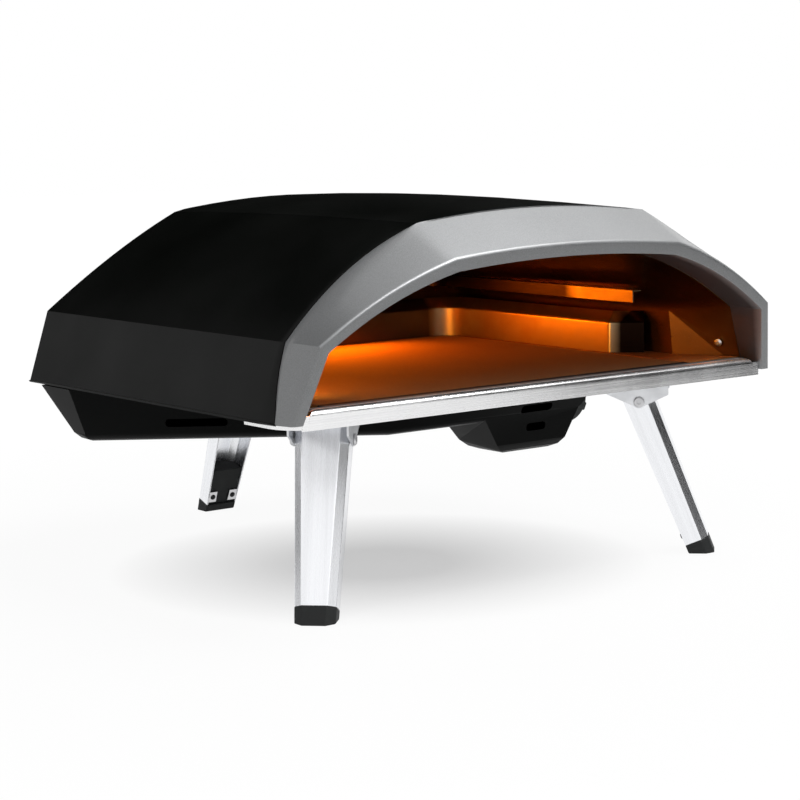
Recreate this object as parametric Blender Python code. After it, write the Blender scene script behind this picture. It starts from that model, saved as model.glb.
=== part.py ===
"""Portable gas pizza oven: faceted shell, front fascia, baking stone, burner and three folding legs.

Metres, +Z up. The origin lies on the ground under the middle of the oven. The mouth faces -Y.
"""

import math

import bmesh
import bpy
from mathutils import Matrix, Vector

# Sheet metal and clearances
SHEET = 0.0015
LINER_SHEET = 0.0012
GAP = 0.0003
OVERRUN = 0.02

# Shell: half widths and heights of its creases at the front edge
SHELL_FRONT = -0.262
SHELL_BOTTOM = 0.184
SHELL_HALF = 0.291
CREASE_HALF = 0.2675
CREASE_HEIGHT = 0.252
TOP_HALF = 0.1358
TOP_HEIGHT = 0.348
SHOULDER_BULGE = 0.008
TOP_CROWN = 0.009
TOP_FALL = 0.007
TOP_BOW = 0.005
CROWN_BOW = 0.004
SHELL_FLANGE = 0.027
SHELL_FRONT_FLANGE = 0.0105
FRONT_CUT_RISE = 0.005
SHOULDER_STEPS = 8
TOP_STEPS = 10
LENGTH_STEPS = 6

# Rear end of the shell: three upright facets below the crease, three sloping ones above it
REAR_CORNER = 0.176
REAR_CENTRE = 0.27
REAR_FACET_HALF = 0.12
REAR_LOW_LEAN = 0.162
REAR_HIGH_LEAN = 1.135

# Fascia: the ridge is its front outer edge, the rim its front inner edge
RIDGE_INSET = 0.0044
RIM_INSET = 0.0149
RIDGE_FOOT = (SHELL_HALF - RIDGE_INSET, -0.283)
RIDGE_CREASE = (0.2689, -0.2996, 0.2522)
RIDGE_TOP = (0.1328, -0.315, 0.319)
RIDGE_NOSE = 0.001
RIM_FOOT = (SHELL_HALF - RIM_INSET, -0.2833)
RIM_CREASE = (0.2592, -0.299, 0.2458)
RIM_TOP = (0.1293, -0.3134, 0.3073)
RIM_BULGE = 0.007
RIM_CROWN = 0.0065
RIDGE_ROUND = 0.0018
RETURN_BACK = -0.256

# Floor, sill and stone
FLOOR_DROP = 0.0055
FLOOR_MARGIN = 0.029
FLOOR_RIM = 0.003
SILL_MARGIN = 0.006
SILL_HALF = SHELL_HALF - SILL_MARGIN
SILL_FRONT = -0.28
SILL_BACK = -0.205
SILL_CORNER = 0.036
SILL_EDGE = 0.004
LIP_MARGIN = 0.017
LIP_HALF = SILL_HALF - LIP_MARGIN
LIP_DEPTH = 0.014
LIP_ROUND = 0.006
LIP_END_ROUND = 0.01
LIP_RISE = 0.0007
STONE_THICKNESS = 0.015
STONE_LEFT_MARGIN = 0.0515
STONE_RIGHT_MARGIN = 0.0905
STONE_LEFT = STONE_LEFT_MARGIN - SHELL_HALF
STONE_RIGHT = SHELL_HALF - STONE_RIGHT_MARGIN
STONE_BACK = 0.1185
STONE_CHAMFER = 0.001
STONE_CLEARANCE = 0.001

# Chamber liner
LINER_FLARE_BACK = -0.192
LINER_BACK = 0.15
LINER_MARGIN = 0.046
LINER_LEAN = 0.0065
LINER_CREASE_DROP = 0.012
LINER_FOOT_HALF = SHELL_HALF - LINER_MARGIN
LINER_CREASE = (LINER_FOOT_HALF - LINER_LEAN, CREASE_HEIGHT - LINER_CREASE_DROP)
LINER_TOP = (0.12, 0.316)
LINER_TOP_FALL = 0.012
LINER_BULGE = 0.006
LINER_CROWN = 0.006

# Burner shelf, guard, deflector and burner
SHELF_THICKNESS = 0.0013
SHELF_MARGIN = 0.0036
GUARD_SHEET = 0.0012
GUARD_RISE = 0.031
GUARD_FLARE = 0.011
GUARD_CORNER = 0.028
GUARD_SETBACK = 0.0015
GUARD_FRONT = -0.139
GUARD_RETURN = 0.0255
GUARD_END_GAP = 0.0088
GUARD_LEFT = GUARD_END_GAP - LINER_FOOT_HALF
DEFLECTOR_BOTTOM = 0.25
DEFLECTOR_RISE = 0.012
DEFLECTOR_REACH = 0.011
DEFLECTOR_FRONT = -0.185
DEFLECTOR_END_GAP = 0.045
DEFLECTOR_LEFT = DEFLECTOR_END_GAP - LINER_FOOT_HALF
BURNER_RADIUS = 0.008
BURNER_MARGIN = 0.069
BURNER_X = SHELL_HALF - BURNER_MARGIN
BURNER_Y = 0.1335
BURNER_RISE = 0.0267
BURNER_FRONT = -0.134
BURNER_END_GAP = 0.02
BURNER_LEFT = BURNER_END_GAP - LINER_FOOT_HALF
BURNER_CORNER = 0.025
SUPPORT_WIDTH = 0.012
SUPPORT_DEPTH = 0.014
CERAMIC_RADIUS = 0.0035
CERAMIC_HEIGHT = 0.026
TIP_RADIUS = 0.001
TIP_BEND = 0.003
TIP_RISE = 0.012
IGNITER_X = 0.06

# Belly pan and its valve box
PAN_BOTTOM = 0.122
PAN_SPREAD = 0.0265
PAN_LEFT_MARGIN = 0.0392
PAN_RIGHT_MARGIN = 0.054
PAN_LEFT = PAN_LEFT_MARGIN - SHELL_HALF
PAN_LEFT_FRONT = 0.1332
PAN_RIGHT = SHELL_HALF - PAN_RIGHT_MARGIN
PAN_BACK = 0.15
PAN_FRONT = -0.05
PAN_FRONT_LEFT = -0.01
PAN_EDGE = 0.008
EDGE_SHARE = 0.3333
RECESS_HALF = 0.034
RECESS_FRONT = 0.052
BOX_BOTTOM = 0.086
BOX_WIDTH = 0.099
BOX_LEFT = PAN_RIGHT - BOX_WIDTH
BOX_BACK = 0.015
BOX_LEFT_SPREAD = 0.024
BOX_BACK_SPREAD = 0.012
BOX_EDGE = 0.01
SLOT_HEIGHT = 0.0085
SLOT_LENGTHS = (0.042, 0.026)
SLOT_HEIGHTS = (0.1325, 0.112)
SLOT_PLACES = (0.059, 0.055)
SIDE_SLOT_LENGTH = 0.062
SIDE_SLOT_DROP = 0.0375
SIDE_SLOT_PLACE = 0.11
LUG_WIDTH = 0.016
LUG_REACH = 0.014
SCREW_RADIUS = 0.002
SCREW_HEAD_RADIUS = 0.004
SCREW_HEAD_HEIGHT = 0.002
LUG_ROUND = 0.003
LUG_PLACE = 0.037
LUG_FRONT_X = (0.03, PAN_RIGHT - LUG_PLACE)
LUG_BACK_X = (-0.15, 0.15)
BOX_STEP = 0.0001
BOX_FRONT_SHARE = 0.35
SLOT_ROUND = 0.0035

# Valve, stem and knob; distances along the knob's axis count from the wall of the valve box
KNOB_Y = -0.019
KNOB_WALL_Z = 0.1335
KNOB_RADIUS = 0.021
KNOB_HEIGHT = 0.0185
KNOB_GAP = 0.004
KNOB_WALL = 0.0025
KNOB_CAP = 0.004
KNOB_HUB_RADIUS = 0.0075
KNOB_GRIP_WIDTH = 0.009
KNOB_GRIP_HEIGHT = 0.004
KNOB_PUSH = 0.003
VALVE_WIDTH = 0.028
VALVE_LENGTH = 0.044
PLUG_RADIUS = 0.008
PLUG_TIP_RADIUS = 0.0065
PLUG_LENGTH = 0.028
PLUG_BORE = 0.0046
TURNING_GAP = 0.0006
STEM_RADIUS = 0.004
STEM_DEPTH = 0.022
JET_RADIUS = 0.006
JET_HEIGHT = 0.01
BOSS_RADIUS = 0.0085
BOSS_TOP = 0.163
PIPE_RADIUS = 0.005
SUPPLY_RADIUS = 0.004
INLET_PLACE = 0.087
INLET_X = PAN_RIGHT - INLET_PLACE
INLET_RISE = 0.03
INLET_HEX = 0.0085
INLET_HEX_LENGTH = 0.008
INLET_RADIUS = 0.0055
INLET_LENGTH = 0.022
VALVE_ROUND = 0.003
VALVE_SCREW_PLACE = 0.0105
VALVE_SCREW_DEPTH = 0.008
PLUG_SETBACK = 0.002
PLUG_BORE_DEPTH = 0.026
GAS_WAY = 0.002
STEM_FLAT = 0.0025
KNOB_HUB_BOTTOM = 0.0065
KNOB_GRIP_ROUND = 0.0015
SUPPLY_PLACE = -0.034
SUPPLY_TURN_Y = 0.02
SUPPLY_CROSSING = 0.045
SUPPLY_BEND = 0.012

# Legs; distances along a leg count from its hinge
HINGE_DROP = 0.0184
LEG_TILT = math.radians(21.7)
LEFT_LEG_TURN = math.radians(135)
RIGHT_LEG_TURN = math.radians(225)
EAR_TIP_START = 220
EAR_TIP_END = 320
HINGE_MARGIN = 0.097
REAR_HINGE_MARGIN = 0.0297
FRONT_HINGE = (SHELL_HALF - HINGE_MARGIN, -0.195)
REAR_HINGE_Y = REAR_CENTRE - REAR_HINGE_MARGIN
LEG_SHEET = 0.0015
LEG_WIDTH = 0.05
LEG_FOOT_WIDTH = 0.037
LEG_DEPTH = 0.029
LEG_FOOT_DEPTH = 0.0235
LEG_CHAMFER = 0.0074
LEG_HEAD = 0.012
LEG_HEAD_INNER = 0.006
LEG_SPARE = 0.025
FOOT_PROUD = 0.0002
FOOT_HEIGHT = 0.0135
INSERT_HEIGHT = 0.056
TAB_BOTTOM = 0.0165
TAB_TOP = 0.0295
TAB_REACH = 0.0115
BUTTON_RADIUS = 0.003
BUTTON_PROUD = 0.001
PIN_RADIUS = 0.003
PIN_HEAD_RADIUS = 0.0055
PIN_HEAD = 0.002
PIN_HEAD_FACE = 0.0042
PIN_HOLLOW_RADIUS = 0.0022
PIN_HOLLOW_DEPTH = 0.0018
PIN_CLEARANCE = 0.0004
BRACKET_SHEET = 0.002
EAR_GAP = 0.001
EAR_INNER = 0.032
EAR_OUTER = 0.029
EAR_TIP = 0.0068
PLATE_THICKNESS = 0.003
PLATE_INNER = 0.078
PLATE_MARGIN = 0.055
PLATE_OUTER = SHELL_HALF - PLATE_MARGIN
PLATE_FRONT = -0.262
PLATE_BACK = -0.16
REAR_PLATE_HALF = 0.045
REAR_PLATE_FRONT = 0.18
RIVET_RADIUS = 0.002
RIVET_HEAD_RADIUS = 0.0038
RIVET_HEAD = 0.0015
RIVET_PLACE = 0.018
PLATE_ROUND = 0.006
LINER_SCREW_Y = -0.238
LINER_SCREW_RISE_SHARE = 0.3676
LINER_SCREW_Z = SHELL_BOTTOM + (CREASE_HEIGHT - SHELL_BOTTOM) * LINER_SCREW_RISE_SHARE
LINER_SCREW_LENGTH = 0.007
LINER_SCREW_GAP = 0.0009

# Counts of sides and steps
ROUND_SIDES = 24
SMALL_SIDES = 12
HEX_SIDES = 6
CORNER_STEPS = 6
MERGE_DISTANCE = 0.0000001
SMOOTH_BELOW = math.radians(30)

# Heights that follow from the sizes above
FLOOR_BOTTOM = SHELL_BOTTOM - FLOOR_DROP
FLOOR_TOP = FLOOR_BOTTOM + SHEET
LINER_BOTTOM = FLOOR_TOP + GAP
STONE_BOTTOM = FLOOR_TOP + GAP
STONE_TOP = STONE_BOTTOM + STONE_THICKNESS
PLATE_TOP = FLOOR_BOTTOM - GAP
PLATE_BOTTOM = PLATE_TOP - PLATE_THICKNESS
BRACKET_TOP = PLATE_BOTTOM - GAP
BRACKET_BOTTOM = BRACKET_TOP - BRACKET_SHEET
HINGE_HEIGHT = BRACKET_BOTTOM - HINGE_DROP
PAN_TOP = FLOOR_BOTTOM - GAP
BURNER_Z = STONE_TOP + BURNER_RISE
REAR_SLOPE = (REAR_CENTRE - REAR_CORNER) / (SHELL_HALF - REAR_FACET_HALF)
LEG_RUN = HINGE_HEIGHT / math.cos(LEG_TILT)
PAN_LEAN = math.atan2(PAN_SPREAD, PAN_TOP - PAN_BOTTOM)


# Materials


def material(name, colour, roughness, metallic):
    made = bpy.data.materials.new(name)
    made.use_nodes = True
    shader = made.node_tree.nodes["Principled BSDF"]
    shader.inputs["Base Color"].default_value = (*colour, 1)
    shader.inputs["Roughness"].default_value = roughness
    shader.inputs["Metallic"].default_value = metallic
    return made


# Mesh helpers


def finish(name, mesh_edit, look):
    """Makes an object from the edited mesh, with its faces turned outwards."""
    bmesh.ops.remove_doubles(mesh_edit, verts=mesh_edit.verts, dist=MERGE_DISTANCE)
    bmesh.ops.recalc_face_normals(mesh_edit, faces=mesh_edit.faces)
    mesh = bpy.data.meshes.new(name)
    mesh_edit.to_mesh(mesh)
    mesh_edit.free()
    mesh.shade_smooth()
    mesh.set_sharp_from_angle(angle=SMOOTH_BELOW)
    obj = bpy.data.objects.new(name, mesh)
    bpy.context.scene.collection.objects.link(obj)
    if look:
        mesh.materials.append(look)
    return obj


def loft_mesh(rings):
    """A closed mesh through rings of as many points each, capped at both ends."""
    edit = bmesh.new()
    rows = [[edit.verts.new(point) for point in ring] for ring in rings]
    count = len(rows[0])
    for first, second in zip(rows, rows[1:]):
        for i in range(count):
            j = (i + 1) % count
            edit.faces.new((first[i], first[j], second[j], second[i]))
    edit.faces.new(rows[0])
    edit.faces.new(rows[-1])
    return edit


def trim(edit, planes):
    """Cuts off what lies beyond each (point, outward normal) plane, and caps the cut."""
    bmesh.ops.recalc_face_normals(edit, faces=edit.faces)
    for point, normal in planes:
        everything = edit.verts[:] + edit.edges[:] + edit.faces[:]
        found = bmesh.ops.bisect_plane(
            edit, geom=everything, plane_co=point, plane_no=normal, clear_outer=True
        )
        rim = [item for item in found["geom_cut"] if isinstance(item, bmesh.types.BMEdge)]
        bmesh.ops.contextual_create(edit, geom=rim)
    return edit


def loft(name, rings, look=None):
    return finish(name, loft_mesh(rings), look)


def prism(name, outline, place, low, high, look=None):
    """Extrudes a flat outline from low to high; place(u, v, w) puts a point in space."""
    rings = [[place(u, v, level) for u, v in outline] for level in (low, high)]
    return loft(name, rings, look)


def along_x(y, z, x):
    return (x, y, z)


def along_y(x, z, y):
    return (x, y, z)


def along_z(x, y, z):
    return (x, y, z)


def circle(radius, sides, centre=(0, 0)):
    turns = [2 * math.pi * (i + 0.5) / sides for i in range(sides)]
    return [(centre[0] + radius * math.cos(t), centre[1] + radius * math.sin(t)) for t in turns]


def arc(centre, radius, start, end, steps=CORNER_STEPS):
    """Points on an arc, with angles in degrees."""
    angles = [math.radians(start + (end - start) * i / steps) for i in range(steps + 1)]
    return [(centre[0] + radius * math.cos(a), centre[1] + radius * math.sin(a)) for a in angles]


def rounded(corners, radii, steps=CORNER_STEPS):
    """The closed outline through these corners, each rounded by its radius."""
    points = []
    count = len(corners)
    for i, (corner, radius) in enumerate(zip(corners, radii)):
        here = Vector(corner)
        before = (Vector(corners[i - 1]) - here).normalized()
        after = (Vector(corners[(i + 1) % count]) - here).normalized()
        if not radius:
            points.append(tuple(here))
            continue
        half = before.angle(after) / 2
        centre = here + (before + after).normalized() * (radius / math.sin(half))
        start = here + before * (radius / math.tan(half)) - centre
        end = here + after * (radius / math.tan(half)) - centre
        sweep = start.angle_signed(end)
        for step in range(steps + 1):
            turn = Matrix.Rotation(-sweep * step / steps, 2)
            points.append(tuple(centre + turn @ start))
    return points


def box_outline(left, right, low, high):
    return [(left, low), (right, low), (right, high), (left, high)]


def inset(points, distance, closed=False):
    """Moves each point of an outline to its right-hand side by the distance, mitred at corners."""
    moved = []
    count = len(points)
    for i, point in enumerate(points):
        here = Vector(point)
        before = Vector(points[i - 1]) if closed or i else None
        after = Vector(points[(i + 1) % count]) if closed or i < count - 1 else None
        pairs = ((before, here), (here, after))
        sides = [(end - start).normalized() for start, end in pairs if start and end]
        normals = [Vector((side.y, -side.x)) for side in sides]
        middle = sum(normals, Vector((0, 0))).normalized()
        moved.append(tuple(here + middle * (distance / middle.dot(normals[0]))))
    return moved


def sweep(name, path, profile, look):
    """Sweeps a closed profile of (offset to the right of the path, height) along a path in plan."""
    offsets = sorted({offset for offset, _ in profile})
    lines = {offset: inset(path, offset) for offset in offsets}
    rings = []
    for i in range(len(path)):
        rings.append([(*lines[offset][i], height) for offset, height in profile])
    return loft(name, rings, look)


def tube(name, points, radius, look, sides=SMALL_SIDES):
    """A round bar along a path of points, with its rings square to the path."""
    rings = []
    places = [Vector(point) for point in points]
    across = None
    for i, here in enumerate(places):
        ahead = places[min(i + 1, len(places) - 1)] - places[max(i - 1, 0)]
        ahead.normalize()
        if across is None:
            across = ahead.orthogonal().normalized()
        across = (across - ahead * across.dot(ahead)).normalized()
        other = ahead.cross(across)
        rings.append([tuple(here + across * u + other * v) for u, v in circle(radius, sides)])
    return loft(name, rings, look)


def turned(name, profile, look, sides=ROUND_SIDES):
    """A body turned about its own Z axis from (radius, height) points, its axis at the object's origin."""
    rings = [[(x, y, height) for x, y in circle(radius, sides)] for radius, height in profile]
    return loft(name, rings, look)


def bend(points, radius, steps=CORNER_STEPS):
    """The path through these points with each inner corner rounded in its own plane."""
    places = [Vector(point) for point in points]
    path = [places[0]]
    for before, here, after in zip(places, places[1:], places[2:]):
        back = (before - here).normalized()
        ahead = (after - here).normalized()
        half = back.angle(ahead) / 2
        reach = radius / math.tan(half)
        centre = here + (back + ahead).normalized() * (radius / math.sin(half))
        start = here + back * reach - centre
        axis = back.cross(ahead).normalized()
        turn = math.pi - 2 * half
        for step in range(steps + 1):
            path.append(centre + Matrix.Rotation(-turn * step / steps, 3, axis) @ start)
    path.append(places[-1])
    return [tuple(point) for point in path]


def combine(obj, other, operation):
    """Adds a Boolean with another closed object, which stays as a hidden guide."""
    other.hide_render = True
    other.display_type = "WIRE"
    modifier = obj.modifiers.new(operation.title(), "BOOLEAN")
    modifier.operation = operation
    modifier.object = other
    modifier.solver = "EXACT"


def cut(obj, *cutters):
    for cutter in cutters:
        combine(obj, cutter, "DIFFERENCE")


def join(obj, *others):
    for other in others:
        combine(obj, other, "UNION")


def attach(parent, *children):
    for child in children:
        child.parent = parent


def empty(name, place, turn=None):
    made = bpy.data.objects.new(name, None)
    made.location = place
    if turn:
        made.rotation_euler = turn
    bpy.context.scene.collection.objects.link(made)
    return made


# Arch outlines


def bulged(start, end, rise, steps):
    """Points after start up to end, on a shallow curve that rises to the left of the chord."""
    chord = (end[0] - start[0], end[-1] - start[-1])
    length = math.hypot(*chord)
    normal = (-chord[1] / length, chord[0] / length)
    points = []
    for step in range(1, steps + 1):
        share = step / steps
        lift = 4 * rise * share * (1 - share)
        point = [a + (b - a) * share for a, b in zip(start, end)]
        point[0] += normal[0] * lift
        point[-1] += normal[1] * lift
        points.append(tuple(point))
    return points


def arch(foot, crease, top, bulge, crown):
    """From the right foot over the crown to the left foot; the keys are (half width, ..., height)."""
    left_top = (-top[0], *top[1:])
    left_crease = (-crease[0], *crease[1:])
    left_foot = (-foot[0], *foot[1:])
    points = [foot, crease]
    points += bulged(crease, top, -bulge, SHOULDER_STEPS)
    points += bulged(top, left_top, -crown, TOP_STEPS)
    points += bulged(left_top, left_crease, -bulge, SHOULDER_STEPS)
    points.append(left_foot)
    return points


# Shell


def shell_outline(y, foot_height):
    """The shell's cross-section at this place along its length."""
    span = REAR_CENTRE - SHELL_FRONT
    share = (y - SHELL_FRONT) / span
    bow = 4 * share * (1 - share)
    top_height = TOP_HEIGHT - TOP_FALL * share + TOP_BOW * bow
    slope = (SHELL_HALF - CREASE_HALF) / (CREASE_HEIGHT - SHELL_BOTTOM)
    foot = (SHELL_HALF - slope * (foot_height - SHELL_BOTTOM), foot_height)
    crown = TOP_CROWN + CROWN_BOW * bow
    crease = (CREASE_HALF, CREASE_HEIGHT)
    return arch(foot, crease, (TOP_HALF, top_height), SHOULDER_BULGE, crown)


def rear_planes(depth):
    """The rear facets as (point, outward normal), moved inwards by the depth."""
    planes = []
    crease_y = REAR_CENTRE - REAR_LOW_LEAN * (CREASE_HEIGHT - SHELL_BOTTOM)
    low = (REAR_LOW_LEAN, REAR_CENTRE, SHELL_BOTTOM)
    high = (REAR_HIGH_LEAN, crease_y, CREASE_HEIGHT)
    for lean, y, z in (low, high):
        for side in (-1, 0, 1):
            normal = Vector((side * REAR_SLOPE, 1, lean)).normalized()
            planes.append((Vector((side * REAR_FACET_HALF, y, z)) - normal * depth, normal))
    return planes


def shell_volume(name, depth, front, floor, look=None):
    """The space inside the shell's outer surface, less a skin of this depth."""
    rings = []
    for step in range(LENGTH_STEPS + 1):
        y = SHELL_FRONT + (REAR_CENTRE - SHELL_FRONT) * step / LENGTH_STEPS
        outline = shell_outline(y, floor)
        if depth:
            outline = inset(outline, -depth)
        place = front if step == 0 else y
        last = len(outline) - 1
        rings.append([(x, place, z if 0 < i < last else floor) for i, (x, z) in enumerate(outline)])
    return finish(name, trim(loft_mesh(rings), rear_planes(depth)), look)


def rear_outline(margin, front):
    """Plan of the shell's base inside its edge by the margin, from this front edge back."""
    planes = [(REAR_FACET_HALF, REAR_CENTRE), (SHELL_HALF, REAR_CORNER)]
    corners = [(SHELL_HALF, SHELL_FRONT), planes[1], planes[0]]
    corners += [(-x, y) for x, y in reversed(corners)]
    narrowed = inset(corners, -margin, closed=True)
    return [(x, max(y, front)) if y < 0 else (x, y) for x, y in narrowed]


def make_shell(looks):
    shell = shell_volume("outer_shell", 0, SHELL_FRONT + GAP, SHELL_BOTTOM, looks["shell"])
    hollow = shell_volume("shell_hollow", SHEET, SHELL_FRONT - OVERRUN, SHELL_BOTTOM + SHEET)
    opening_plan = rear_outline(SHELL_FLANGE, SHELL_FRONT - OVERRUN)
    opening_plan = [(x, y if y > 0 else SHELL_FRONT - OVERRUN) for x, y in opening_plan]
    below = SHELL_BOTTOM - OVERRUN
    opening = prism("shell_opening", opening_plan, along_z, below, SHELL_BOTTOM + OVERRUN)
    reach = SHELL_HALF - SHELL_FRONT_FLANGE
    front_plan = box_outline(-reach, reach, SHELL_FRONT - OVERRUN, SILL_BACK)
    front_opening = prism("shell_front_opening", front_plan, along_z, below, SHELL_BOTTOM + FRONT_CUT_RISE)
    cut(shell, hollow, opening, front_opening)


# Fascia


def make_fascia(looks):
    edge = arch(
        (SHELL_HALF, SHELL_FRONT, SHELL_BOTTOM),
        (CREASE_HALF, SHELL_FRONT, CREASE_HEIGHT),
        (TOP_HALF, SHELL_FRONT, TOP_HEIGHT),
        SHOULDER_BULGE,
        TOP_CROWN,
    )
    ridge = arch((*RIDGE_FOOT, SHELL_BOTTOM), RIDGE_CREASE, RIDGE_TOP, RIM_BULGE, RIM_CROWN)
    rim = arch((*RIM_FOOT, SHELL_BOTTOM), RIM_CREASE, RIM_TOP, RIM_BULGE, RIM_CROWN)
    rim_flat = [(x, z) for x, _, z in rim]
    rim_back = inset(rim_flat, SHEET)
    edge_back = inset([(x, z) for x, _, z in edge], -SHEET)
    ridge_back = inset([(x, z) for x, _, z in ridge], -SHEET)
    rings = []
    last = len(edge) - 1
    for i in range(last + 1):
        nose = RIDGE_NOSE * math.sin(math.pi * i / last)
        outer = Vector(edge[i])
        peak = Vector(ridge[i]) - Vector((0, nose, 0))
        lip = Vector(rim[i]) - Vector((0, nose, 0))
        upper = peak + (outer - peak).normalized() * RIDGE_ROUND
        lower = peak + (lip - peak).normalized() * RIDGE_ROUND
        end = Vector((lip.x, RETURN_BACK, lip.z))
        end_back = Vector((rim_back[i][0], RETURN_BACK, rim_back[i][1]))
        lip_back = Vector((rim_back[i][0], lip.y + SHEET, rim_back[i][1]))
        peak_back = Vector((ridge_back[i][0], peak.y + SHEET + RIDGE_ROUND, ridge_back[i][1]))
        outer_back = Vector((edge_back[i][0], SHELL_FRONT, edge_back[i][1]))
        ring = [outer, upper, lower, lip, end, end_back, lip_back, peak_back, outer_back]
        if i in (0, last):
            for point in ring:
                point.z = SHELL_BOTTOM
        rings.append([tuple(point) for point in ring])
    loft("front_fascia", rings, looks["fascia"])


# Floor and sill


def make_floor(looks):
    front = SILL_BACK + GAP
    plan = rear_outline(FLOOR_MARGIN, front)
    floor = prism("floor_plate", plan, along_z, FLOOR_BOTTOM, SHELL_BOTTOM - GAP, looks["floor"])
    well_plan = rear_outline(FLOOR_MARGIN + FLOOR_RIM, front)
    well_plan = [(x, y if y > 0 else front - OVERRUN) for x, y in well_plan]
    cut(floor, prism("floor_well", well_plan, along_z, FLOOR_TOP, FLOOR_TOP + OVERRUN))
    return floor


def make_sill(looks):
    corners = box_outline(-SILL_HALF, SILL_HALF, SILL_FRONT, SILL_BACK)
    plan = rounded(corners, (SILL_CORNER, SILL_CORNER, 0, 0))
    sill = prism("front_sill", plan, along_z, FLOOR_BOTTOM, SHELL_BOTTOM - GAP, looks["sill"])
    well_half = SILL_HALF - SILL_EDGE
    well_corners = box_outline(-well_half, well_half, SILL_FRONT + SILL_EDGE, SILL_BACK + OVERRUN)
    well_round = SILL_CORNER - SILL_EDGE
    well_plan = rounded(well_corners, (well_round, well_round, 0, 0))
    cut(sill, prism("sill_well", well_plan, along_z, FLOOR_TOP, FLOOR_TOP + OVERRUN))
    lip_top = STONE_TOP + LIP_RISE
    lip_back = SILL_FRONT + LIP_DEPTH
    outer = [(SILL_FRONT, FLOOR_BOTTOM)]
    outer += arc((SILL_FRONT + LIP_ROUND, lip_top - LIP_ROUND), LIP_ROUND, 180, 90)
    outer.append((lip_back, lip_top))
    profile = outer + list(reversed(inset(outer, SHEET)))
    lip = prism("sill_lip", profile, along_x, -LIP_HALF, LIP_HALF)
    span = box_outline(-LIP_HALF, LIP_HALF, FLOOR_BOTTOM, lip_top)
    trim = prism(
        "sill_lip_ends",
        rounded(span, (0, 0, LIP_END_ROUND, LIP_END_ROUND)),
        along_y,
        SILL_FRONT - OVERRUN,
        lip_back + OVERRUN,
    )
    combine(lip, trim, "INTERSECT")
    join(sill, lip)


def make_stone(looks):
    front = SILL_FRONT + LIP_DEPTH + STONE_CLEARANCE
    corner = GUARD_CORNER - GUARD_SETBACK - STONE_CLEARANCE
    plan = rounded(box_outline(STONE_LEFT, STONE_RIGHT, front, STONE_BACK), (0, 0, corner, 0))
    stone = prism("baking_stone", plan, along_z, STONE_BOTTOM, STONE_TOP, looks["stone"])
    bevel = stone.modifiers.new("Edges", "BEVEL")
    bevel.width = STONE_CHAMFER
    bevel.segments = 1


# Chamber


def liner_outline(y):
    """The liner's outer surface at this place: the flare starts on the fascia's rim."""
    fall = LINER_TOP_FALL * (y - LINER_FLARE_BACK) / (LINER_BACK - LINER_FLARE_BACK)
    top = (LINER_TOP[0], LINER_TOP[1] - fall)
    return arch((LINER_FOOT_HALF, LINER_BOTTOM), LINER_CREASE, top, LINER_BULGE, LINER_CROWN)


def make_liner(looks):
    mouth = arch(
        (RIM_FOOT[0] + SHEET, LINER_BOTTOM),
        (RIM_CREASE[0] + SHEET, RIM_CREASE[-1]),
        (RIM_TOP[0], RIM_TOP[-1] + SHEET),
        RIM_BULGE,
        RIM_CROWN,
    )
    stations = [(RETURN_BACK + GAP, mouth)]
    stations += [(y, liner_outline(y)) for y in (LINER_FLARE_BACK, LINER_BACK)]
    rings = []
    for y, outline in stations:
        inner = inset(outline, -LINER_SHEET)
        loop = outline + list(reversed(inner))
        rings.append([(x, y, max(z, LINER_BOTTOM)) for x, z in loop])
    edit = loft_mesh(rings)
    bmesh.ops.triangulate(edit, faces=edit.faces, quad_method="LONG_EDGE")
    liner = finish("chamber_liner", edit, looks["liner"])
    outline = liner_outline(LINER_BACK)
    back = [(x, max(z, LINER_BOTTOM)) for x, z in outline]
    wall_front = LINER_BACK + GAP
    prism("liner_rear_wall", back, along_y, wall_front, wall_front + LINER_SHEET, looks["liner"])
    return liner


def flare_half(y):
    """Half width inside the liner near the floor at this place."""
    share = (LINER_FLARE_BACK - y) / (LINER_FLARE_BACK - RETURN_BACK)
    inside = LINER_FOOT_HALF - SHELF_MARGIN
    return inside + (RIM_FOOT[0] - LINER_FOOT_HALF) * max(share, 0)


def make_shelf(looks):
    front = RETURN_BACK
    left = STONE_RIGHT + STONE_CLEARANCE
    low = STONE_BACK + STONE_CLEARANCE
    back = LINER_BACK - GAP
    side = flare_half(LINER_FLARE_BACK)
    plan = [
        (left, front),
        (flare_half(front) - LINER_SHEET, front),
        (side, LINER_FLARE_BACK),
        (side, back),
        (-side, back),
        (-side, low),
        (left, low),
    ]
    plan = rounded(plan, (0, 0, 0, 0, 0, 0, GUARD_CORNER - GUARD_SETBACK))
    shelf = prism("burner_shelf", plan, along_z, STONE_BOTTOM, STONE_TOP, looks["steel"])
    hollow = inset(plan, -SHELF_THICKNESS, closed=True)
    cut(shelf, prism("shelf_hollow", hollow, along_z, STONE_BOTTOM - OVERRUN, STONE_TOP - SHELF_THICKNESS))
    feed = circle(PIPE_RADIUS + GAP, SMALL_SIDES, (BURNER_X, KNOB_Y))
    cut(shelf, prism("shelf_feed_hole", feed, along_z, STONE_BOTTOM, STONE_TOP + OVERRUN))


def guard_path():
    line_x = STONE_RIGHT + STONE_CLEARANCE + GUARD_SETBACK
    line_y = STONE_BACK + STONE_CLEARANCE + GUARD_SETBACK
    centre = (line_x - GUARD_CORNER, line_y - GUARD_CORNER)
    path = [(line_x + GUARD_RETURN, GUARD_FRONT - GUARD_RETURN), (line_x, GUARD_FRONT)]
    path += arc(centre, GUARD_CORNER, 0, 90)
    path.append((GUARD_LEFT, line_y))
    return path


def make_guard(looks):
    base = STONE_TOP + GAP
    bend_height = base + GUARD_RISE
    outer = [(0, base), (0, bend_height), (GUARD_FLARE, bend_height + GUARD_FLARE)]
    profile = outer + list(reversed(inset(outer, GUARD_SHEET)))
    sweep("burner_guard", guard_path(), profile, looks["steel"])


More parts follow.
